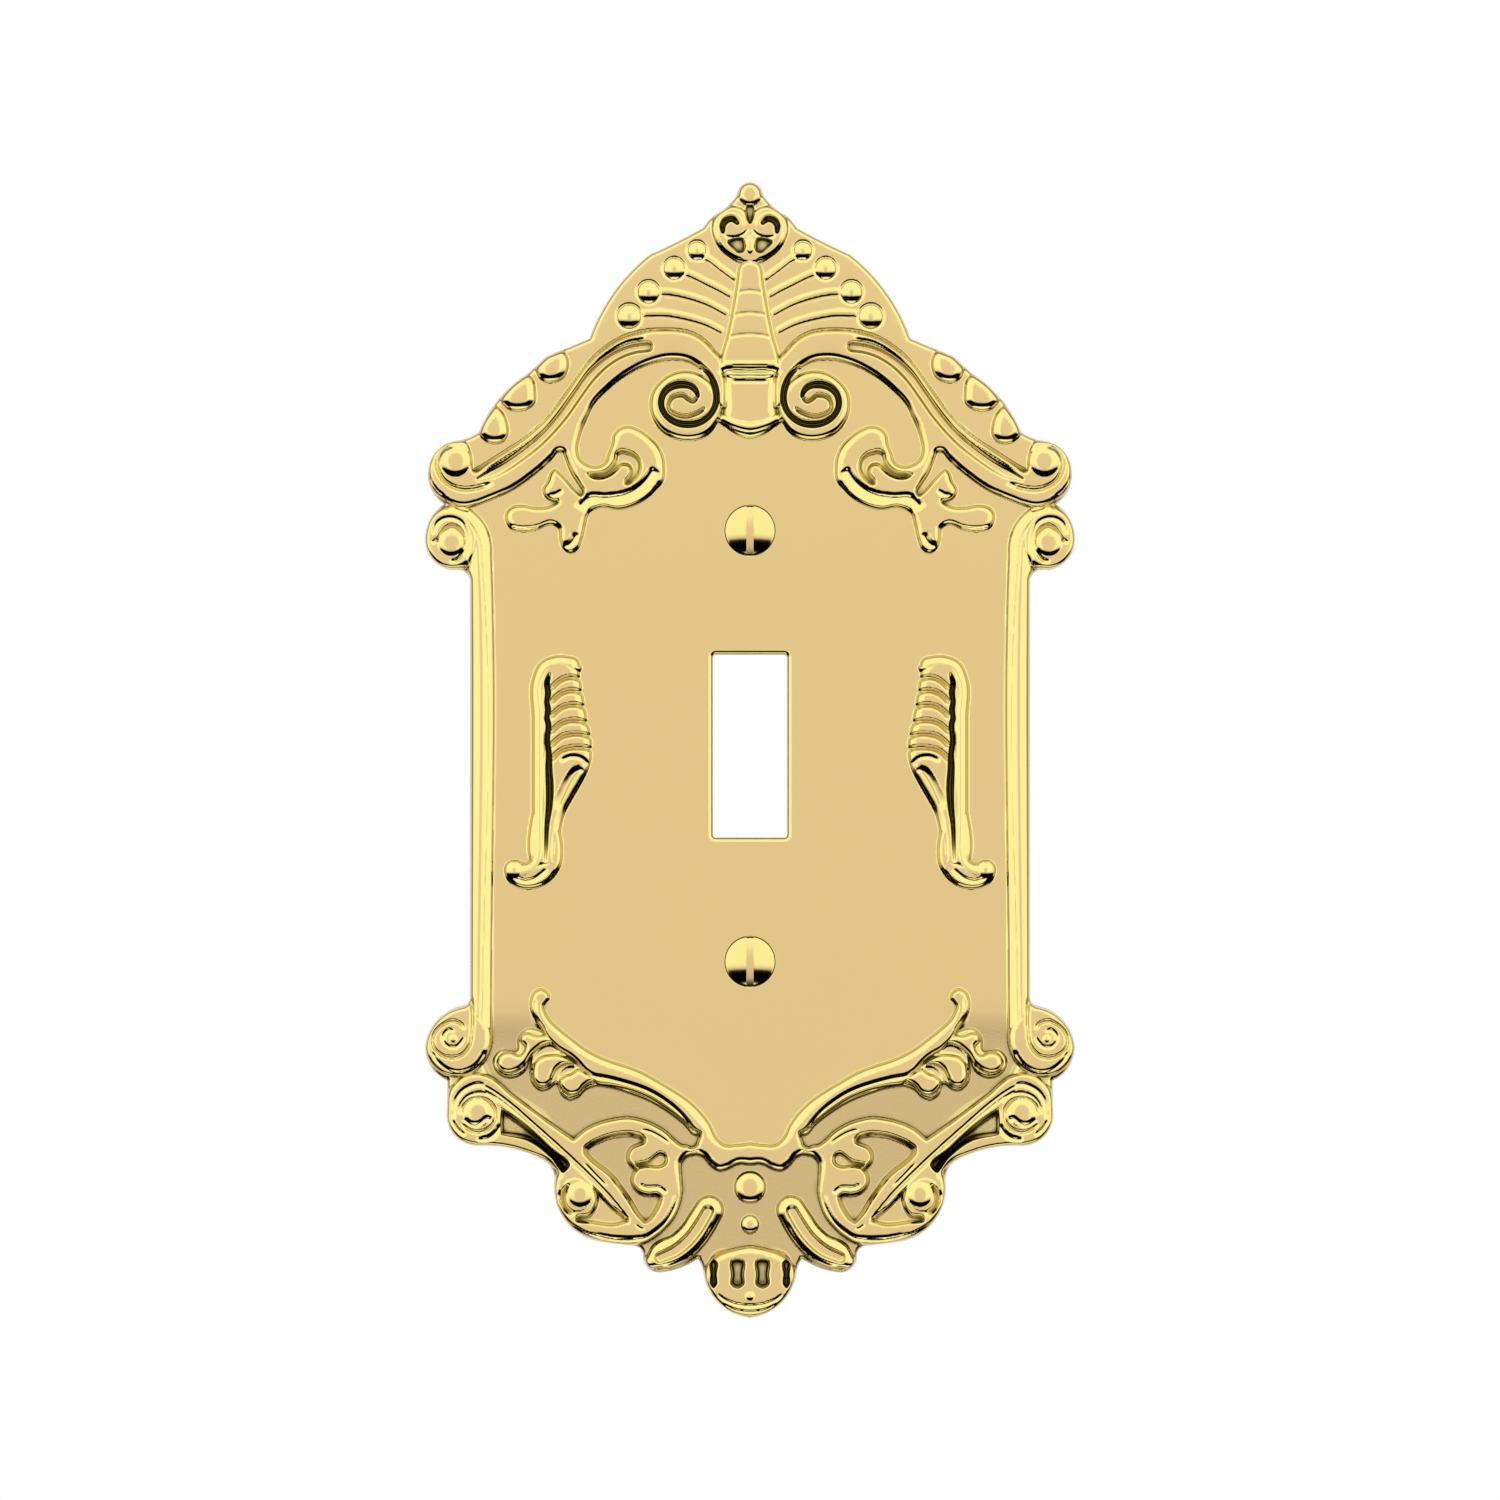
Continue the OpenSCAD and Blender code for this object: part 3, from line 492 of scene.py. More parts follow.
def foot_mass():
    """Diagonal, arch and bottom scroll: one raised mass with panels sunk into it."""
    pad([(-42.9, -52, 0.8), (-42.7, -49.2, 0.8), (-41.4, -47.1, 0.8), (-39.9, -46, 0.7),
         (-38.3, -45.7, 0.6), (-36.8, -46, 0.6), (-33, -48.9, 0.6), (-30, -51.1, 0.6),
         (-28, -52.6, 0.6), (-24.7, -54.9, 0.6), (-24.7, -54.9, 0.6), (-23, -53.5, 0.6),
         (-21, -52.6, 0.6), (-19, -52.1, 0.6), (-17, -51.9, 0.6), (-15, -52.3, 0.6),
         (-13, -53.1, 0.6), (-11.5, -54.1, 0.6), (-10.5, -55.1, 0.6), (-9.5, -55.8, 0.6),
         (-8.4, -56, 0.6), (-7.6, -57, 0.8), (-8.8, -57.4, 1), (-9.6, -58.4, 1), (-9.6, -60, 0.8),
         (-9.5, -62.5, 0.5), (-9.9, -64.3, 0.4), (-10.6, -65.9, 0.4), (-11.8, -67.4, 0.4),
         (-13.2, -68.6, 0.4), (-14.8, -69.5, 0.4), (-16.2, -69.8, 0.4), (-20, -69.6, 0.5),
         (-23, -68.7, 0.8),
         (-26, -66.6, 1), (-27.8, -64, 1), (-28, -61, 1), (-27, -59.6, 1), (-28, -58.6, 1),
         (-33, -57.2, 1), (-38, -56.4, 1), (-41.4, -55, 1)], TOP, 1)
    # Volute at the diagonal's head
    stroke([(-41.8, -52.4), (-41.4, -51), (-41.3, -50), (-40.9, -49), (-40.2, -48.2),
            (-39.2, -47.6), (-38, -47.25), (-37, -47.45)], 0.4, -0.25)
    for shift in (0, -0.55):
        stroke([(-37.4, -47.4 + shift), (-35.5, -48.55 + shift), (-34, -49.65 + shift),
                (-30, -53.1 + shift), (-25, -57.6 + shift), (-20, -62.55 + shift),
                (-16.8, -66.4 + shift)], (0.3, 0.3), -0.17)
    stroke([(-40.9, -51.6), (-40.5, -50.2), (-39.5, -49), (-38, -48.5), (-36.4, -48.8),
            (-35.2, -49.9)], 0.3, -0.2)
    stroke([(-40.4, -51.6), (-40.1, -50.4), (-39.3, -49.6), (-38, -49.3), (-36.6, -49.7),
            (-35.7, -50.8), (-35.6, -52), (-36.3, -53.3), (-37.7, -54), (-39.2, -53.7),
            (-40.3, -52.8)], 0.35, -0.35)
    bead(-38.1, -51.3, 2.1, TOP - 0.1, edge=42, flat=0.45)
    fall([(-40, -52.1), (-39.2, -52.75), (-38.4, -52.95), (-37.6, -52.55), (-36.9, -52.05),
          (-36, -52.4)], 0.35, 0.15, 0.5)
    stroke([(-41.8, -52), (-41, -53.4), (-39.8, -54.5)], (0.3, 0.4), -0.3)
    fall([(-38.2, -55.1), (-36.5, -54.8), (-35.5, -54), (-34.8, -52.8)], 0.45, 0.2, 0.5)
    # Deep triangular pit
    sink([(-34.9, -50.4, 0.7), (-34.9, -50.4, 0.7), (-35, -52.8, 0.5), (-34.9, -54.4, 0.5),
          (-34.9, -54.4, 0.5), (-31, -55.4, 0.8), (-28, -57.6, 0.9), (-26, -59.7, 0.7),
          (-25.2, -58.8, 0.6), (-27.8, -56, 0.9), (-31, -53, 0.9)], -1.5, 0.8, lean=(-0.2, 0.1))
    # Small volute, the panel beside it and the scroll's lower lip
    sink([(-22.1, -61.2), (-21.4, -61.8), (-19.4, -63.9), (-16.9, -66.6), (-18.4, -67.2),
          (-21.8, -67), (-24.6, -66.3), (-24.4, -65.7), (-22.6, -65.2), (-21.8, -63.6)],
         -0.1, 0.7)
    pad([(-26.7, -62), (-26.3, -60.6), (-25.1, -59.9), (-23.5, -60), (-22.3, -61), (-21.8, -62.5),
         (-21.9, -64.2), (-22.8, -65.3), (-24.2, -65.7), (-26, -65.2)], TOP + 0.1, 0.9)
    stroke([(-25, -61.4), (-25.8, -62), (-26.2, -63.2), (-25.8, -64.6), (-24.6, -65.6)],
           0.5, -0.7)
    bead(-23.8, -62.7, 1.9, TOP - 0.1, flat=0.4)
    stroke([(-26.6, -62), (-26.7, -63.2), (-26.3, -64.4)], 0.25, -0.3)
    fall([(-22.5, -68), (-20, -68.8), (-18, -69), (-16, -69), (-14.5, -68.75), (-13.3, -68),
          (-12, -66.9), (-11, -65.4), (-10.4, -64), (-10.1, -62.4)], 0.45, 0.2, 0.4, taper=2.5)
    stroke([(-25.6, -66.6), (-23, -68), (-21, -68.7), (-18, -69.3), (-15.5, -69.5)], 0.3, -0.2)
    # Wing panel under the arch
    sink([(-23.5, -57, 1), (-23.4, -56, 1), (-22.6, -55.3, 1), (-21.2, -54.6, 1),
          (-19.5, -54, 1), (-17.8, -53.75, 1), (-16.2, -53.8, 1), (-15, -54.2, 0.9),
          (-14.4, -54.9, 0.8), (-14.6, -55.7, 0.7), (-15.4, -56.1, 0.7), (-16.3, -56.5, 0.7),
          (-16.7, -57.2, 0.7), (-16.6, -58, 0.7), (-16, -58.7, 0.6), (-15.4, -59, 0.5),
          (-16, -60, 0.7), (-16.1, -61, 0.7), (-15.4, -62, 0.7), (-14.2, -62.4, 0.7),
          (-12.8, -62.4, 0.7), (-12.1, -63, 0.8), (-12.3, -64.2, 0.9), (-12.9, -65.4, 0.9),
          (-13.8, -66.5, 0.8), (-14.7, -66.9, 0.7), (-15.6, -66.2, 0.8), (-17.4, -63.6, 0.9),
          (-20, -60.2, 0.9), (-22.8, -57.9, 0.9)], LOW_GROUND + 0.1, 1)
    sink([(-16.2, -58.2), (-15.2, -58), (-14.3, -57.7), (-13.5, -57.1), (-12.7, -56.6),
          (-11.9, -56.8), (-11.4, -57.6), (-11.6, -58.6), (-12.4, -59.1), (-14.5, -59.1),
          (-15.8, -59.2)], -0.1, 0.6)
    stroke([(-15.3, -53.6), (-14, -53.9), (-12.6, -54.6), (-11.2, -55.6)], (0.2, 0.3), -0.15)
    stroke([(-15.4, -61.3), (-14.5, -61.7), (-13.6, -61.7), (-12.8, -61.7), (-12.2, -62),
            (-11.7, -62.6)], (0.3, 0.4), -0.25, taper=0.4)
    stroke([(-16, -66.9), (-15.4, -67.4), (-14.8, -67.6)], 0.2, -0.15, taper=0.3)
    stroke([(-23.2, -58.3), (-21.6, -60), (-20, -61.6)], 0.25, -0.17)


def foot_centre():
    """Fluted leaf, two beads and the bell at the very bottom."""
    leaf = [(-13.8, -72.2, 1.1), (-12.6, -71.4, 1.9), (-10, -70.3, 2.1), (-8, -68.5, 2.1),
            (-6.7, -66.6, 2.1), (-5.7, -64.9, 2.0)]
    band([(x, z, w, w, 0.95) for x, z, w in leaf], base=LOW_GROUND)
    channel([(-12.6, -71.6, 0.9, 0.15), (-10.4, -70.6, 1.05, 0.1), (-8.4, -68.9, 1.05, 0.05),
             (-7, -67, 1.05, 0.05), (-5.9, -65.1, 1.0, 0.05)], flat=0.45)
    stroke([(-13.2, -73), (-10.8, -72.3), (-8.8, -71.1), (-6.8, -69.2), (-5.3, -66.6)], 0.25, -0.08)
    bead(0, -61.7, 2.2, LOW_GROUND + 0.1, edge=60, flat=0.45)
    stroke(ring(0, -61.8, 2.75, 90, 270), 0.3, -0.12, taper=0)
    bead(0, -66.9, 1.25, LOW_GROUND + 0.1, edge=55, flat=0.3)
    stroke(ring(0, -67, 1.8, 90, 270), 0.25, -0.1, taper=0)
    bell = [(2, -70), (-2.5, -70.4), (-4.6, -71.2), (-5.9, -72.4), (-6.9, -74.2), (-6.9, -77),
            (-4.6, -79.6), (-2, -80.6), (2, -81)]
    pad(bell, 1.2, 1.0)
    for x, w, floor in ((-1.75, 0.95, -1.1), (-5.1, 0.5, -0.8)):
        sink([(x - w, -72), (x, -71.7), (x + w, -72), (x + w, -74), (x + w, -75.4), (x, -75.9),
              (x - w, -75.4), (x - w, -74)], floor, 0.5)
    bead(0, -76.9, 0.65, TOP - 0.05)
    stroke([(-4.6, -76.6), (-3.6, -77.4), (-2.5, -77.9), (0, -78.3), (1, -78.3)], 0.3, -0.25)
    stroke([(-3.8, -77.9), (-2.2, -78.8), (0, -79.15), (1, -79.1)], 0.25, -0.2)


crest()
scroll()
keystone()
foot_ground()
foot_mass()
foot_band()
foot_centre()
pilaster()
bracket()


def blurred(grid, reach, times):
    """The grid averaged over a square that reaches so many steps to each side, so many times."""
    span = 2 * reach + 1
    for _ in range(times):
        for axis in (0, 1):
            grid = np.moveaxis(grid, axis, 0)
            wide = np.pad(grid, ((reach, reach), (0, 0)), "edge" if axis == 0 else "reflect")
            total = np.cumsum(np.concatenate([wide[:1] * 0, wide]), axis=0)
            grid = np.moveaxis((total[span:] - total[:-span]) / span, 0, axis)
    return grid


SHARP = 0.65                   # share of the sharp height map, the rest being blurred
RECESS_FROM, RECESS_TO = 0.2, 0.5   # depths below the surroundings between which recesses darken

H = np.where(H > 0, H * RELIEF, H)
H = SHARP * H + (1 - SHARP) * blurred(H, 1, 1)
# How deep each place lies between the mouldings round it: 0 in the open, 1 in a narrow pit. The
# brass is darkened there with tarnish and painted shade
RECESS = np.clip((blurred(H, 5, 2) - H - RECESS_FROM) / (RECESS_TO - RECESS_FROM), 0, 1)


# ---- Loops round the plate, its holes and its opening ----

def arc_points(p, q, rise):
    """Points of the arc from p to q that rises to the right of the way, without q."""
    p, q = np.array(p, float), np.array(q, float)
    c = np.hypot(*(q - p))
    u = (q - p) / c
    if abs(rise) < 0.02:
        n = math.ceil(c / 0.5)
        return [p + (q - p) * i / n for i in range(n)]
    k = abs(rise)
    r = (c * c / 4 + k * k) / (2 * k)
    half = 2 * math.atan(2 * k / c)
    n = math.ceil(2 * half * r / 0.35)
    out = []
    for i in range(n):
        a = (2 * i / n - 1) * half
        bulge = math.copysign(k - r + r * math.cos(a), rise)
        out.append((p + q) / 2 + u * r * math.sin(a) + np.array([u[1], -u[0]]) * bulge)
    return out


half_edge = np.array([p for a, b in zip(EDGE, EDGE[1:]) for p in arc_points(a[:2], b[:2], a[2])]
                     + [np.array(EDGE[-1][:2])])
full_edge = np.concatenate([half_edge, (half_edge * (-1, 1))[-2:0:-1]])


def ring_normals(loop):
    """Unit vectors in x and z that point out of a closed loop drawn anticlockwise."""
    along = np.roll(loop, -1, 0) - np.roll(loop, 1, 0)
    along /= np.hypot(*along.T)[:, None]
    return np.stack([along[:, 1], -along[:, 0]], 1)


def span_distance(points, loop):
    """Distance from each point to a closed loop."""
    best = np.full(len(points), 1e9)
    for a, b in zip(loop, np.roll(loop, -1, 0)):
        u = b - a
        t = np.clip(((points - a) @ u) / (u @ u), 0, 1)
        best = np.minimum(best, np.hypot(*(points - a - t[:, None] * u).T))
    return best


edge_out = ring_normals(full_edge)


def inset(d):
    """The outline moved in by d, with the outward normal of each of its points."""
    moved = full_edge - edge_out * d
    keep = span_distance(moved, full_edge) > d - 0.02
    return moved[keep], edge_out[keep]


def within(points, loop):
    """True for the points that a closed loop surrounds."""
    odd = np.zeros(len(points), bool)
    x, z = points.T
    for a, b in zip(loop, np.roll(loop, -1, 0)):
        if a[1] != b[1]:
            cross = a[0] + (z - a[1]) * (b[0] - a[0]) / (b[1] - a[1])
            odd ^= ((a[1] <= z) != (b[1] <= z)) & (x < cross)
    return odd


def between(points, outer, inner):
    """True for the points inside the outer loop and outside all the inner ones."""
    ok = within(points, outer)
    for loop in inner:
        ok &= ~within(points, loop)
    return ok


def circle(z, r, count=72):
    a = np.arange(count) * 2 * np.pi / count + np.pi / 2
    return np.stack([r * np.cos(a), z + r * np.sin(a)], 1)


def opening_loop(grow):
    """The toggle opening, grown on all sides, with rounded corners."""
    w, h = OPENING[0] + grow, OPENING[1] + grow
    r = 0.4 + grow
    points = []
    for sx, sz, a0 in ((-1, 1, 90), (-1, -1, 180), (1, -1, 270), (1, 1, 0)):
        for a in np.radians(np.linspace(a0, a0 + 90, 9)):
            points.append((sx * (w - r) + r * math.cos(a), sz * (h - r) + r * math.sin(a)))
    loop = []
    for p, q in zip(points, points[1:] + points[:1]):
        n = max(1, round(math.hypot(q[0] - p[0], q[1] - p[1]) / 0.8))
        n += n % 2 if n > 1 else 0
        loop += [(p[0] + (q[0] - p[0]) * i / n, p[1] + (q[1] - p[1]) * i / n) for i in range(n)]
    return np.array(loop)


# ---- How closely the mesh follows the height map ----
HEIGHT_TOLERANCE = 0.02
SLOPE_TOLERANCE = 0.08
FINE_SLOPE_TOLERANCE = 0.4

# ---- Patches of the plate's surface: points, faces and normals ----
patches = []


def add_patch(points, faces, normals, recess=0.0):
    normals = np.asarray(normals, float)
    patches.append((np.asarray(points, float), [tuple(f) for f in faces],
                    normals / np.linalg.norm(normals, axis=1)[:, None],
                    np.broadcast_to(recess, len(points))))


def bilinear(grid, x, z):
    j = np.clip((x - X[0]) / STEP, 0, X.size - 1.001)
    i = np.clip((z - Z[0]) / STEP, 0, Z.size - 1.001)
    j0, i0 = j.astype(int), i.astype(int)
    fj, fi = j - j0, i - i0
    return (grid[i0, j0] * (1 - fi) * (1 - fj) + grid[i0, j0 + 1] * (1 - fi) * fj
            + grid[i0 + 1, j0] * fi * (1 - fj) + grid[i0 + 1, j0 + 1] * fi * fj)


def edge_drop(d):
    """How far the surface falls at a distance d in from the outline."""
    t = np.clip((d - WALL_LEAN) / ROUND_W, 0, 1)
    rounded = ROUND_H * (1 - np.sqrt(1 - (1 - t) ** 2))
    steep = WALL_DROP - (WALL_DROP - ROUND_H) * np.clip(d / WALL_LEAN, 0, 1)
    return np.where(d < WALL_LEAN, steep, rounded)


def fine_points():
    """Grid points at the corners of squares, small where the height map or its slope bends."""
    wanted = np.zeros(H.shape, bool)
    slope_z, slope_x = np.gradient(H, STEP)
    size = 16
    active = np.ones(((Z.size - 1) // size, (X.size - 1) // size), bool)
    while True:
        i, j = np.nonzero(active)
        i, j = i * size, j * size
        bent = np.zeros(len(i), bool)
        slope_limit = SLOPE_TOLERANCE if size > 2 else FINE_SLOPE_TOLERANCE
        for start in range(0, len(i) if size > 1 else 0, 4000):
            k = slice(start, start + 4000)
            v = (np.arange(size + 1) / size)[:, None]
            h = v.T
            for values, limit in ((H, HEIGHT_TOLERANCE), (slope_z, slope_limit),
                                  (slope_x, slope_limit)):
                block = values[i[k, None, None] + np.arange(size + 1)[:, None],
                               j[k, None, None] + np.arange(size + 1)]
                flat = (block[:, :1, :1] * (1 - v) * (1 - h) + block[:, :1, -1:] * (1 - v) * h
                        + block[:, -1:, :1] * v * (1 - h) + block[:, -1:, -1:] * v * h)
                bent[k] |= np.abs(block - flat).max((1, 2)) > limit
        for a in (0, size):
            for b in (0, size):
                wanted[i[~bent] + a, j[~bent] + b] = True
        if size == 1:
            return wanted
        grown = np.zeros((active.shape[0] * 2, active.shape[1] * 2), bool)
        for a in (0, 1):
            for b in (0, 1):
                grown[i[bent] // size * 2 + a, j[bent] // size * 2 + b] = True
        active, size = grown, size // 2


def triangulate(points, loops, bounds):
    """Triangles between the points that keep the loops' edges and pass the bounds test."""
    vertices = [Vector(p) for p in points]
    new, _, faces, sources, _, _ = delaunay_2d_cdt(vertices, loops, [], 0, 1e-5)
    new = np.array([points[source[0]] if source else tuple(v) for v, source in zip(new, sources)])
    faces = np.array(faces)
    keep = bounds(new[faces].mean(1))
    return new, faces[keep]


def loop_edges(start, count, closed=True):
    """Pairs of neighbouring points, numbered from start, along a loop or an open line."""
    return [(start + k, start + (k + 1) % count) for k in range(count if closed else count - 1)]


def facing(points, faces, toward):
    """Faces with their corners ordered so that they look along the vector."""
    p = points[faces]
    turn = np.cross(p[:, 1] - p[:, 0], p[:, 2] - p[:, 0]) @ np.array(toward, float)
    return np.where((turn < 0)[:, None], faces[:, ::-1], faces)


def front():
    """The whole front surface: the relief's left half and its mirror image."""
    holes = [circle(SCREW_Z, SINK_R), circle(-SCREW_Z, SINK_R), opening_loop(BEVEL_W)]
    edge_line = np.concatenate([full_edge, full_edge[:1]])
    distance = np.full(H.shape, 9.0)
    where, d, _, _ = near(np.column_stack([edge_line, np.zeros(len(edge_line))]), 1.6)
    distance[where] = d
    distance[~inside(edge_line, (slice(0, Z.size), slice(0, X.size)))] = 0
    surface = H - edge_drop(distance)
    side = np.concatenate([surface, surface[:, -2:-1]], axis=1)
    slope_z, slope_x = np.gradient(side, STEP)
    slope_z, slope_x = slope_z[:, :-1], slope_x[:, :-1]

    i, j = np.nonzero(fine_points() & (distance > 0.28))
    points = np.stack([X[j], Z[i]], 1)
    for hole in holes:
        points = points[~within(points, hole) & (span_distance(points, hole) > 0.06)]
    rows = [half_edge]
    for d in (WALL_LEAN, 0.22, 0.36, 0.52, 0.74):
        row = inset(d)[0]
        rows.append(row[row[:, 0] < -0.02])
    loops = loop_edges(0, len(half_edge), closed=False)
    for hole in holes:
        half = hole[hole[:, 0] < 1e-6]
        half = half[np.argsort(-half[:, 1], kind="stable")] if len(half) < 40 else half
        start = sum(len(r) for r in rows)
        loops += loop_edges(start, len(half), closed=False)
        half = half.copy()
        half[[0, -1], 0] = 0
        rows.append(half)
    points = np.concatenate(rows + [points])

    flat, faces = triangulate(points, loops, lambda m: between(m, full_edge, holes))
    x, z = flat.T
    on_edge = span_distance(flat, full_edge) < 1e-4
    high = bilinear(H, x, z) - np.where(on_edge, WALL_DROP, edge_drop(bilinear(distance, x, z)))
    normals = -np.stack([bilinear(slope_x, x, z), np.ones(len(x)), bilinear(slope_z, x, z)], 1)
    tilt = (WALL_DROP - ROUND_H) / WALL_LEAN
    nearest = {tuple(np.round(p, 4)): n for p, n in zip(full_edge, edge_out)}
    for k in np.nonzero(on_edge)[0]:
        out = nearest.get(tuple(np.round(flat[k], 4)))
        if out is not None:
            normals[k] = (out[0] * tilt, -1, out[1] * tilt)
    normals[np.abs(x) < 1e-9, 0] = 0
    solid = np.stack([x, -FIELD - high, z], 1)
    faces = facing(solid, faces, (0, -1, 0))
    recess = bilinear(RECESS, x, z)
    add_patch(solid, faces, normals, recess)
    flip = np.array([-1, 1, 1])
    add_patch(solid * flip, faces[:, ::-1], normals * flip, recess)
    return {tuple(np.round(p[[0, 2]], 4)): p[1] for p in solid[on_edge]}


def strip(loops, normals):
    """Faces between loops that have the same number of points; one list of normals per loop.
    The faces look the way their normals point."""
    n = len(loops[0])
    faces = []
    for r in range(len(loops) - 1):
        for k in range(n):
            a, b = r * n + k, r * n + (k + 1) % n
            faces.append((a, b, b + n, a + n))
    points, normals = np.concatenate(loops), np.concatenate(normals)
    a, b, c = points[list(faces[0][:3])]
    if np.cross(b - a, c - a) @ normals[faces[0][0]] < 0:
        faces = [face[::-1] for face in faces]
    add_patch(points, faces, normals)


def lift(loop, depth):
    return np.stack([loop[:, 0], -np.broadcast_to(depth, len(loop)), loop[:, 1]], 1)


def tilted(out, y):
    """Normals that point along out in x and z, with a y part."""
    return np.stack([out[:, 0], np.full(len(out), float(y)), out[:, 1]], 1)


def sides(edge_depth):
    """The plate's side, from the sloping edge to the rim that rests on the wall."""
    depth = np.array([-edge_depth[tuple(np.round((-abs(p[0]), p[1]), 4))] for p in full_edge])
    tilt = WALL_LEAN / (WALL_DROP - ROUND_H)
    back = full_edge - edge_out * 0.25
    strip([lift(full_edge, depth), lift(full_edge, np.minimum(depth - 0.4, 2)),
           lift(full_edge, 0.35), lift(full_edge - edge_out * 0.07, 0.1), lift(back, 0)],
          [tilted(edge_out, -tilt), tilted(edge_out, 0), tilted(edge_out, 0), tilted(edge_out, 1),
           tilted(edge_out * 0.05, 1)])
    return back


def back(rim_loop):
    """Rim, walls and floor of the hollow back."""
    # Distance in from the outline and depth, from the rim's inner edge to the floor
    profile = [(3.0, 0.0), (3.12, 0.25), (3.25, 1.9), (3.45, 2.45), (3.8, 2.7), (4.3, HOLLOW)]
    wall = inset(profile[0][0])[0]
    points = np.concatenate([rim_loop, wall])
    loops = loop_edges(0, len(rim_loop)) + loop_edges(len(rim_loop), len(wall))
    flat, faces = triangulate(points, loops, lambda m: between(m, rim_loop, [wall]))
    solid = lift(flat, 0)
    add_patch(solid, facing(solid, faces, (0, 1, 0)), np.tile((0, 1.0, 0), (len(solid), 1)))

    holes = [circle(SCREW_Z, HOLE_R), circle(-SCREW_Z, HOLE_R), opening_loop(0)]
    points, loops, depths, outs = [], [], [], []
    total = 0
    for k, (d, depth) in enumerate(profile):
        loop, out = inset(d)
        loops += loop_edges(total, len(loop))
        before, after = profile[max(k - 1, 0)], profile[min(k + 1, len(profile) - 1)]
        lean = (after[1] - before[1]) / (after[0] - before[0]) if k < len(profile) - 1 else 0
        points.append(loop)
        depths.append(np.full(len(loop), depth))
        outs.append(tilted(-out * lean, 1))
        total += len(loop)
    for hole in holes:
        loops += loop_edges(total, len(hole))
        points.append(hole)
        depths.append(np.full(len(hole), HOLLOW))
        outs.append(np.tile((0, 1.0, 0), (len(hole), 1)))
        total += len(hole)
    points, depths, outs = map(np.concatenate, (points, depths, outs))
    known = {tuple(np.round(p, 4)): (d, o) for p, d, o in zip(points, depths, outs)}

    flat, faces = triangulate(points, loops, lambda m: between(m, wall, holes))
    found = [known.get(tuple(np.round(p, 4)), (HOLLOW, (0, 1.0, 0))) for p in flat]
    solid = lift(flat, np.array([f[0] for f in found]))
    add_patch(solid, facing(solid, faces, (0, 1, 0)), np.array([f[1] for f in found]))


def hole_walls():
    """Countersinks, bores and the walls of the toggle opening."""
    lip_depth = FIELD - 0.08
    bore_depth = lip_depth - (SINK_R - 0.08 - HOLE_R) / math.tan(CONE_ANGLE)
    for z in (SCREW_Z, -SCREW_Z):
        out = ring_normals(circle(z, 1))
        lip = [circle(z, SINK_R), circle(z, SINK_R - 0.04), circle(z, SINK_R - 0.1)]
        bore = circle(z, HOLE_R)
        cone_normals = tilted(-out * 1.15, -1)
        strip([lift(lip[0], FIELD), lift(lip[1], FIELD - 0.015), lift(lip[2], lip_depth)],
              [tilted(-out * 0.1, -1), tilted(-out * 0.5, -1), cone_normals])
        strip([lift(lip[2], lip_depth), lift(bore, bore_depth)], [cone_normals] * 2)
        strip([lift(bore, bore_depth), lift(bore, HOLLOW)], [tilted(-out, 0)] * 2)
    loops, normals = [], []
    for a in np.radians((0, 15, 30, 45, 60, 75, 90)):
        loop = opening_loop(BEVEL_W * (1 - math.sin(a)))
        out = ring_normals(loop)
        loops.append(lift(loop, FIELD - BEVEL_H * (1 - math.cos(a))))
        normals.append(np.stack([-out[:, 0] * math.sin(a), np.full(len(out), -math.cos(a) - 1e-3),
                                 -out[:, 1] * math.sin(a)], 1))
    strip(loops, normals)
    low = opening_loop(0)
    strip([lift(low, FIELD - BEVEL_H), lift(low, HOLLOW)], [tilted(-ring_normals(low), 0)] * 2)


back(sides(front()))
hole_walls()


def welded_mesh(name):
    """One mesh from all patches, with points that coincide joined and each patch's own normals."""
    offset, points, faces, corner_normals, recesses = 0, [], [], [], []
    for p, f, n, recess in patches:
        points.append(p)
        recesses.append(recess)
        faces += [tuple(v + offset for v in face) for face in f]
        corner_normals.append(n)
        offset += len(p)
    points, normals = np.concatenate(points), np.concatenate(corner_normals)
    _, first, index = np.unique(np.round(points, 4), axis=0, return_index=True, return_inverse=True)
    index = index.ravel()
    kept, kept_normals = [], []
    for face in faces:
        joined = [index[v] for v in face]
        if len(set(joined)) == len(joined):
            kept.append([int(v) for v in joined])
            kept_normals += [normals[v] for v in face]
    mesh = bpy.data.meshes.new(name)
    mesh.from_pydata([tuple(p) for p in points[first] * MM], [], kept)
    mesh.update()
    mesh.polygons.foreach_set("use_smooth", [True] * len(mesh.polygons))
    mesh.normals_split_custom_set([tuple(n) for n in kept_normals])
    # Recess depth for each point, which the brass material turns into tarnish and painted shade
    recess = mesh.attributes.new("recess", "FLOAT", "POINT")
    recess.data.foreach_set("value", np.concatenate(recesses)[first].astype(np.float32))
    return mesh


def add_object(name, mesh, material):
    item = bpy.data.objects.new(name, mesh)
    bpy.context.scene.collection.objects.link(item)
    item.data.materials.append(material)
    return item


# ---- Materials ----
GROUND_SHARE = (0.785, 0.75, 0.84)   # colour of the sunk ground as a share of the plate's
# Dark brown mixed into narrow recesses: partly tarnish, partly painted shade and painted dark
# reflections
RECESS_TARNISH_AND_SHADE_COLOUR = (0.17, 0.12, 0.04, 1)
WHITE = (1, 1, 1, 1)


def node_material(name):
    material = bpy.data.materials.new(name)
    material.use_nodes = True
    nodes, links = material.node_tree.nodes, material.node_tree.links
    return material, nodes, links, nodes["Principled BSDF"]


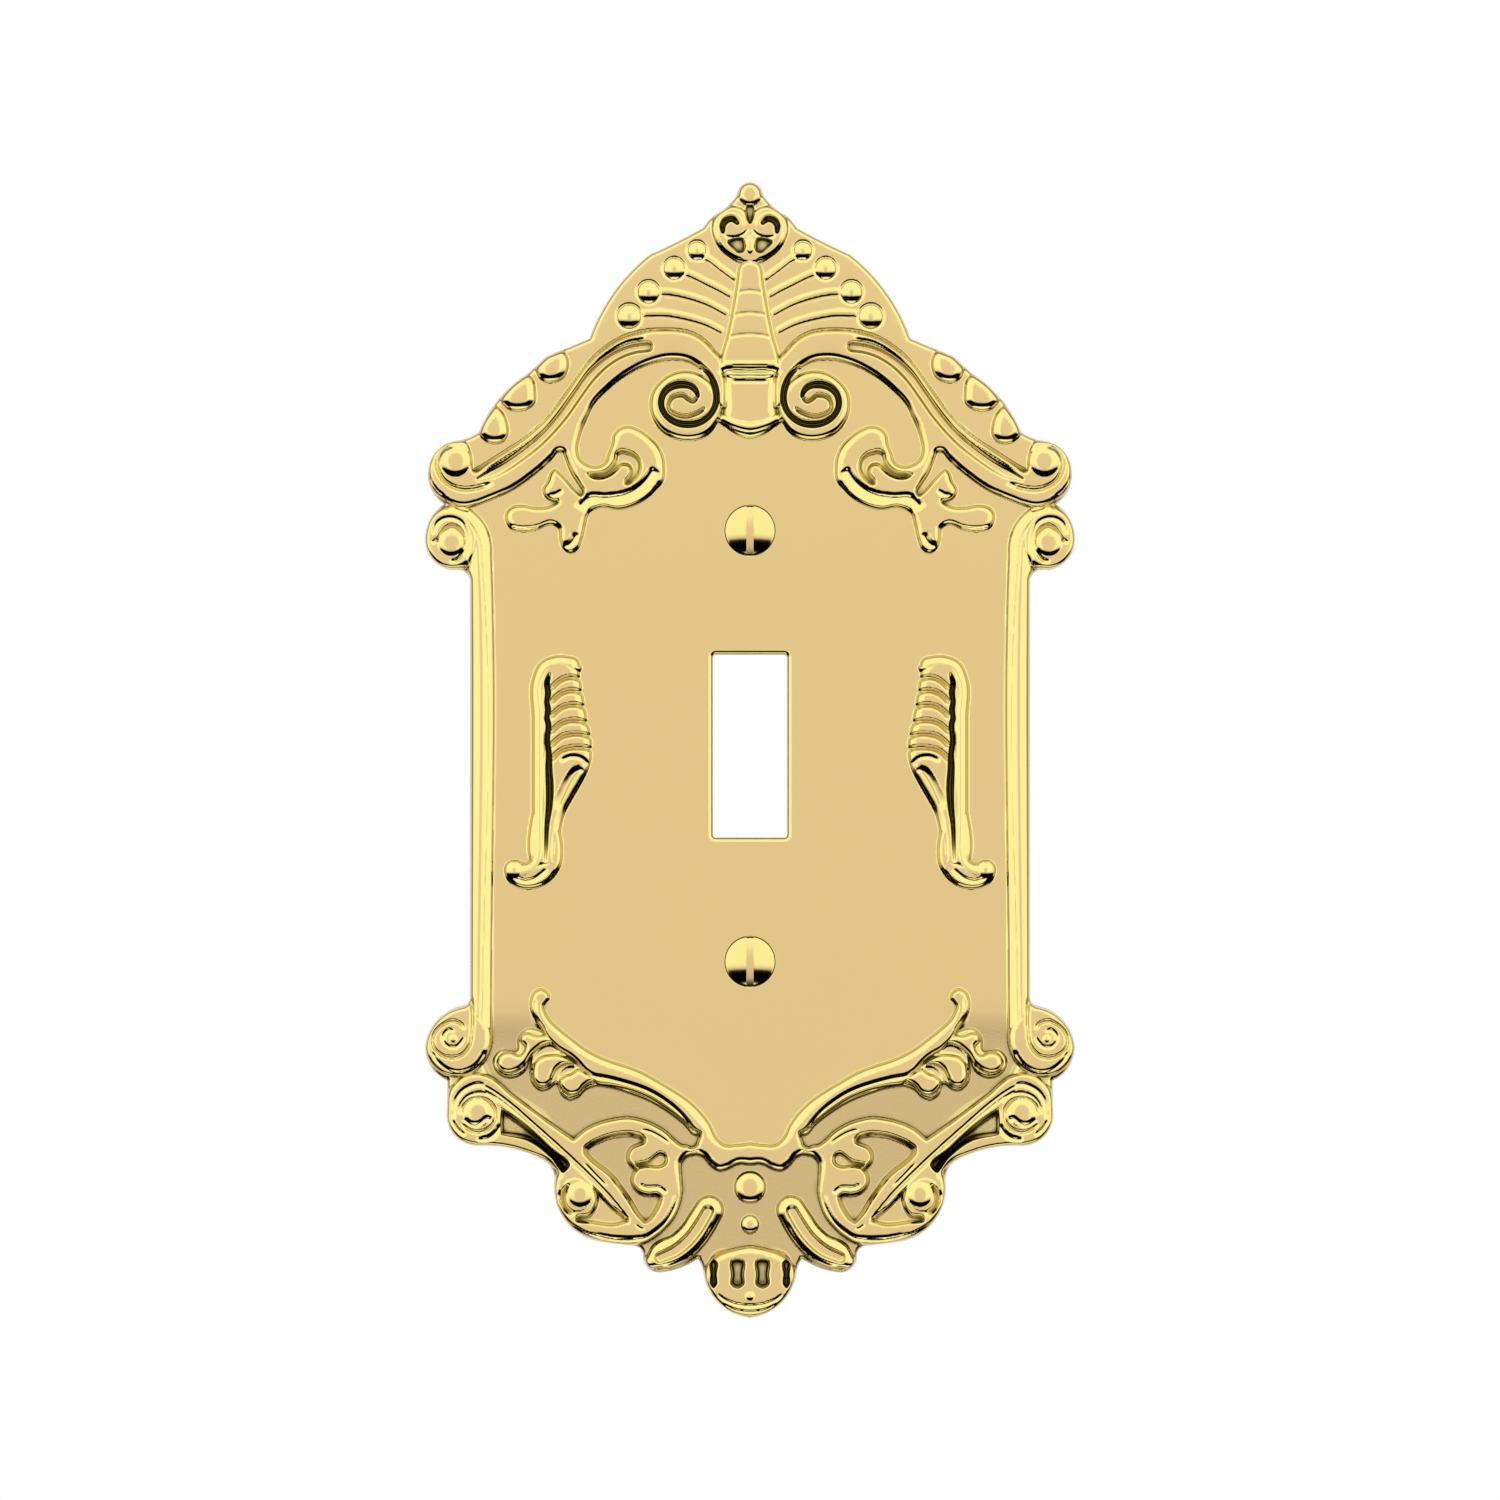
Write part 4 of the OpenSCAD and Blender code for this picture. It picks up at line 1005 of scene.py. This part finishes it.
def brass(name, colour, polish, grain):
    """Polished brass. Grounds sunk below the field are greyer, less polished and can be grainy."""
    material, nodes, links, shader = node_material(name)
    shader.inputs["Metallic"].default_value = 1.0
    place = nodes.new("ShaderNodeTexCoord")
    split = nodes.new("ShaderNodeSeparateXYZ")
    links.new(place.outputs["Object"], split.inputs["Vector"])
    sunk = nodes.new("ShaderNodeMapRange")
    sunk.inputs["From Min"].default_value = -(FIELD - 0.08) * MM
    sunk.inputs["From Max"].default_value = -(FIELD - 0.3) * MM
    links.new(split.outputs["Y"], sunk.inputs["Value"])
    cloud = nodes.new("ShaderNodeTexNoise")
    cloud.inputs["Scale"].default_value = 60
    cloud.inputs["Detail"].default_value = 3
    links.new(place.outputs["Object"], cloud.inputs["Vector"])
    rough = nodes.new("ShaderNodeMapRange")
    rough.inputs["To Min"].default_value = polish - 0.02
    rough.inputs["To Max"].default_value = polish + 0.03
    links.new(cloud.outputs["Fac"], rough.inputs["Value"])
    matte = nodes.new("ShaderNodeMath")
    matte.operation = "MULTIPLY_ADD"
    matte.inputs[1].default_value = 0.12
    links.new(sunk.outputs["Result"], matte.inputs[0])
    links.new(rough.outputs["Result"], matte.inputs[2])
    links.new(matte.outputs["Value"], shader.inputs["Roughness"])
    tint = nodes.new("ShaderNodeMix")
    tint.data_type = "RGBA"
    tint.inputs["A"].default_value = (*colour, 1)
    tint.inputs["B"].default_value = (*(c * share for c, share in zip(colour, GROUND_SHARE)), 1)
    links.new(sunk.outputs["Result"], tint.inputs["Factor"])
    # Narrow recesses are darkened: partly tarnish, partly painted shade that stands in for the dark
    # reflections on the real plate
    recess = nodes.new("ShaderNodeAttribute")
    recess.attribute_name = "recess"
    tarnish_and_shade = nodes.new("ShaderNodeMix")
    tarnish_and_shade.data_type = "RGBA"
    tarnish_and_shade.inputs["B"].default_value = RECESS_TARNISH_AND_SHADE_COLOUR
    links.new(recess.outputs["Fac"], tarnish_and_shade.inputs["Factor"])
    links.new(tint.outputs["Result"], tarnish_and_shade.inputs["A"])
    links.new(tarnish_and_shade.outputs["Result"], shader.inputs["Base Color"])
    if grain:
        speck = nodes.new("ShaderNodeTexNoise")
        speck.inputs["Scale"].default_value = 2600
        speck.inputs["Detail"].default_value = 2
        links.new(place.outputs["Object"], speck.inputs["Vector"])
        bump = nodes.new("ShaderNodeBump")
        bump.inputs["Distance"].default_value = 0.02 * MM
        links.new(sunk.outputs["Result"], bump.inputs["Strength"])
        links.new(speck.outputs["Fac"], bump.inputs["Height"])
        links.new(bump.outputs["Normal"], shader.inputs["Normal"])
    return material


plate_brass = brass("polished_brass", (0.91, 0.67, 0.297), 0.085, grain=True)
screw_brass = brass("screw_brass", (0.90, 0.65, 0.28), 0.12, grain=False)

plate = add_object("plate_body", welded_mesh("plate_body"), plate_brass)
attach(plate, "plate")
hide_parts("plate")

# ---- Screws ----
SCREW_FLAT = FIELD + 0.1      # depth of the plane where the head's cone meets its dome
HEAD_R, DOME_H = 3.45, 1.1
NECK_R, THREAD_R, CORE_R, PITCH = 1.5, 1.73, 1.32, 0.794
SCREW_LENGTH = 19.0           # from the field to the tip
TIP_DEPTH = FIELD - SCREW_LENGTH
SLOT_W, SLOT_D = 1.0, 1.3
SLOT_TURN = math.radians(90)  # the slots stand upright
WORN = 0.06                   # width of the worn edges


def screw_body(name, z0):
    """Oval-head machine screw: dome, cone, threaded shank and a slot."""
    count = 48
    angles = np.arange(count) * 2 * np.pi / count
    ball_r = (HEAD_R ** 2 + DOME_H ** 2) / (2 * DOME_H)
    cone_h = (HEAD_R - NECK_R) / math.tan(CONE_ANGLE)
    rows = []
    for a in np.linspace(0.02, math.asin((HEAD_R - 0.05) / ball_r), 14):
        rows.append((ball_r * math.sin(a), SCREW_FLAT + DOME_H - ball_r * (1 - math.cos(a))))
    rows += [(HEAD_R, SCREW_FLAT + 0.02), (HEAD_R, SCREW_FLAT - 0.04),
             (HEAD_R - 0.04, SCREW_FLAT - 0.1), (NECK_R + 0.1, SCREW_FLAT - cone_h + 0.02),
             (NECK_R, SCREW_FLAT - cone_h - 0.12), (NECK_R, 0.1)]
    points = [(r * np.cos(angles), np.full(count, -d), r * np.sin(angles)) for r, d in rows]
    for d in np.arange(0, TIP_DEPTH + 0.02, -PITCH / 9):
        phase = (d / PITCH + angles / (2 * np.pi)) % 1
        tooth = np.clip(1.35 - 3.2 * np.abs(phase - 0.5), 0, 1)
        grown = min(1, -d / PITCH)
        tip = min(1, 0.35 + (d - TIP_DEPTH) / 0.9)
        r = np.minimum(NECK_R + (CORE_R + (THREAD_R - CORE_R) * tooth - NECK_R) * grown,
                       CORE_R * 0.75 + (THREAD_R - CORE_R * 0.75) * tip)
        points.append((r * np.cos(angles), np.full(count, -d), r * np.sin(angles)))
    grid = np.array(points).transpose(0, 2, 1)
    n_rows = len(grid)
    vertices = np.concatenate([grid.reshape(-1, 3), [(0, -SCREW_FLAT - DOME_H, 0)],
                               [(0, grid[-1, 0, 1], 0)]])
    faces = [(r * count + k, r * count + (k + 1) % count, (r + 1) * count + (k + 1) % count,
              (r + 1) * count + k) for r in range(n_rows - 1) for k in range(count)]
    faces += [(k, n_rows * count, (k + 1) % count) for k in range(count)]
    last = (n_rows - 1) * count
    faces += [(last + k, last + (k + 1) % count, n_rows * count + 1) for k in range(count)]
    mesh = bpy.data.meshes.new(name)
    mesh.from_pydata([tuple(v) for v in vertices * MM], [], [f[::-1] for f in faces])
    item = add_object(name, mesh, screw_brass)

    blade = bpy.data.meshes.new(name + "_blade")
    w, d0, d1 = SLOT_W / 2, SCREW_FLAT + DOME_H - SLOT_D, SCREW_FLAT + DOME_H + 2
    c, s = math.cos(SLOT_TURN), math.sin(SLOT_TURN)
    corners = [(x * c - z * s, -d, x * s + z * c) for d in (d0, d1) for x, z in
               ((-6, -w), (6, -w), (6, w), (-6, w))]
    blade.from_pydata([tuple(v * MM for v in p) for p in corners], [],
                      [(3, 2, 1, 0), (4, 5, 6, 7), (1, 5, 4, 0), (2, 6, 5, 1), (3, 7, 6, 2),
                       (0, 4, 7, 3)])
    cutter = bpy.data.objects.new(name + "_blade", blade)
    bpy.context.scene.collection.objects.link(cutter)
    for m in (mesh, blade):
        m.validate()
    cut = item.modifiers.new("slot", "BOOLEAN")
    cut.operation, cut.object, cut.solver = "DIFFERENCE", cutter, "EXACT"
    soften = item.modifiers.new("worn_edges", "BEVEL")
    soften.width, soften.segments, soften.limit_method = WORN * MM, 2, "ANGLE"
    soften.angle_limit = math.radians(50)
    bpy.context.view_layer.update()
    cut_item = item.evaluated_get(bpy.context.evaluated_depsgraph_get())
    made = bpy.data.meshes.new_from_object(cut_item)
    item.modifiers.clear()
    item.data = made
    made.name = name
    bpy.data.objects.remove(cutter)
    bpy.data.meshes.remove(blade)
    made.transform(Matrix.Translation((0, 0, z0 * MM)))
    made.polygons.foreach_set("use_smooth", [True] * len(made.polygons))
    made.set_sharp_from_angle(angle=math.radians(38))
    return item


for node, z0 in (("upper_screw", SCREW_Z), ("lower_screw", -SCREW_Z)):
    screw = screw_body(node + "_body", z0)
    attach(screw, node)
    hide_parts(node)

# ---- Studio: light, floor and camera ----
# The surround's brightness and edges were set against the photograph
ROOM_STRENGTH = 1.92
BRIGHTEST = 0.63                   # of the soft boxes, before the strength
BOX_TINT = (0.9, 1.08, 0.88, 1)    # of the brighter boxes
AGAIN_TINT = (0.2, 0.4, 1.1, 1)    # of light that was reflected more than once
world = bpy.data.worlds.new("studio")
bpy.context.scene.world = world
world.use_nodes = True
nodes, links = world.node_tree.nodes, world.node_tree.links
nodes.clear()


def world_node(kind, **settings):
    node = nodes.new(kind)
    for key, value in settings.items():
        setattr(node, key, value)
    return node


def ramp(source, stops):
    """Value that follows the stops, each (position, brightness)."""
    node = world_node("ShaderNodeValToRGB")
    elements = node.color_ramp.elements
    while len(elements) > 1:
        elements.remove(elements[0])
    elements[0].position = stops[0][0]
    elements[0].color = (stops[0][1],) * 3 + (1,)
    for position, level in stops[1:]:
        element = elements.new(position)
        element.color = (level,) * 3 + (1,)
    links.new(source, node.inputs["Fac"])
    return node.outputs["Color"]


def math_node(operation, *values):
    node = world_node("ShaderNodeMath", operation=operation)
    for socket, value in zip(node.inputs, values):
        if isinstance(value, (int, float)):
            socket.default_value = value
        else:
            links.new(value, socket)
    return node.outputs["Value"]


coordinates = world_node("ShaderNodeTexCoord")
axes = world_node("ShaderNodeSeparateXYZ")
links.new(coordinates.outputs["Generated"], axes.inputs["Vector"])
across = math_node("ABSOLUTE", axes.outputs["X"])
height01 = math_node("MULTIPLY_ADD", axes.outputs["Z"], 0.5, 0.5)
depth01 = math_node("MULTIPLY_ADD", axes.outputs["Y"], 0.5, 0.5)
# Soft boxes fill the room in front of the plate, less bright straight ahead and dark below
by_height = ramp(height01, [(0.30, 0.0), (0.345, 0.36), (0.44, 0.425), (0.5, 0.435), (0.56, 0.47),
                            (0.63, 0.62), (1.0, 0.62)])
by_side = ramp(across, [(0.05, 0.0), (0.2, 0.2), (1.0, 0.2)])
above_dark = ramp(height01, [(0.30, 0.0), (0.42, 1.0)])
side_light = math_node("MULTIPLY", by_side, above_dark)
boxes = math_node("MINIMUM", math_node("ADD", by_height, side_light), BRIGHTEST)
# The boxes end before the plate's plane
edge_of_boxes = ramp(depth01, [(0.36, 1.0), (0.45, 0.4)])
# A bright table shows at the very bottom
table = ramp(height01, [(0.045, 0.66), (0.075, 0.0)])
front_light = math_node("MAXIMUM", math_node("MULTIPLY", boxes, edge_of_boxes), table)
tint = world_node("ShaderNodeMix", data_type="RGBA")
links.new(ramp(front_light, [(0.45, 0.0), (0.6, 1.0)]), tint.inputs["Factor"])
tint.inputs["A"].default_value = WHITE
tint.inputs["B"].default_value = BOX_TINT
coloured = world_node("ShaderNodeMix", data_type="RGBA", blend_type="MULTIPLY")
coloured.inputs["Factor"].default_value = 1
links.new(front_light, coloured.inputs["A"])
links.new(tint.outputs["Result"], coloured.inputs["B"])
# Dim behind the plate's plane, bright again straight behind it
behind = ramp(depth01, [(0.5, 0.0), (0.56, 1.0)])
far_behind = ramp(depth01, [(0.56, 0.1), (0.7, 0.2), (0.92, 0.45)])
mixed = world_node("ShaderNodeMix", data_type="RGBA")
links.new(behind, mixed.inputs["Factor"])
links.new(coloured.outputs["Result"], mixed.inputs["A"])
links.new(far_behind, mixed.inputs["B"])
# Light that was reflected more than once on the brass would turn deep orange, so it is tinted
# blue and dimmed, which isn't physical
path = world_node("ShaderNodeLightPath")
again = world_node("ShaderNodeMix", data_type="RGBA", blend_type="MULTIPLY")
links.new(mixed.outputs["Result"], again.inputs["A"])
tenth_of_depth = math_node("MULTIPLY", path.outputs["Ray Depth"], 0.1)
times = ramp(tenth_of_depth, [(0.25, 0.0), (0.35, 0.6), (0.45, 1.0)])
links.new(times, again.inputs["Factor"])
again.inputs["B"].default_value = AGAIN_TINT
room = world_node("ShaderNodeBackground")
room.inputs["Strength"].default_value = ROOM_STRENGTH
links.new(again.outputs["Result"], room.inputs["Color"])
# The camera sees plain white paper instead of the room
paper = world_node("ShaderNodeBackground")
paper.inputs["Color"].default_value = WHITE
paper.inputs["Strength"].default_value = 1.0
pick = world_node("ShaderNodeMixShader")
links.new(path.outputs["Is Camera Ray"], pick.inputs["Fac"])
links.new(room.outputs["Background"], pick.inputs[1])
links.new(paper.outputs["Background"], pick.inputs[2])
output = world_node("ShaderNodeOutputWorld")
links.new(pick.outputs["Shader"], output.inputs["Surface"])

FLOOR_HALF, FLOOR_Z = 1.2, -0.3     # metres
floor_mesh = bpy.data.meshes.new("floor")
floor_mesh.from_pydata([(x * FLOOR_HALF, y * FLOOR_HALF, FLOOR_Z)
                        for x, y in ((-1, -1), (1, -1), (1, 1), (-1, 1))], [], [(0, 1, 2, 3)])
floor_material, _, _, floor_shader = node_material("floor_paper")
floor_shader.inputs["Base Color"].default_value = (0.92, 0.84, 0.9, 1)
floor_shader.inputs["Roughness"].default_value = 0.9
floor = add_object("floor", floor_mesh, floor_material)
floor.visible_glossy = False

FRAME_W = 0.2106        # width of the picture at the plate, in metres
DISTANCE = 1.5
CAMERA_Z = -0.00054
SENSOR_W = 36
camera_data = bpy.data.cameras.new("camera")
camera_data.sensor_width = SENSOR_W
camera_data.lens = SENSOR_W * DISTANCE / FRAME_W
camera_data.clip_end = 20
camera = bpy.data.objects.new("camera", camera_data)
camera.location = (0, -DISTANCE, CAMERA_Z)
camera.rotation_euler = (math.pi / 2, 0, 0)
bpy.context.scene.collection.objects.link(camera)
bpy.context.scene.camera = camera
bpy.context.scene.view_settings.view_transform = "Standard"
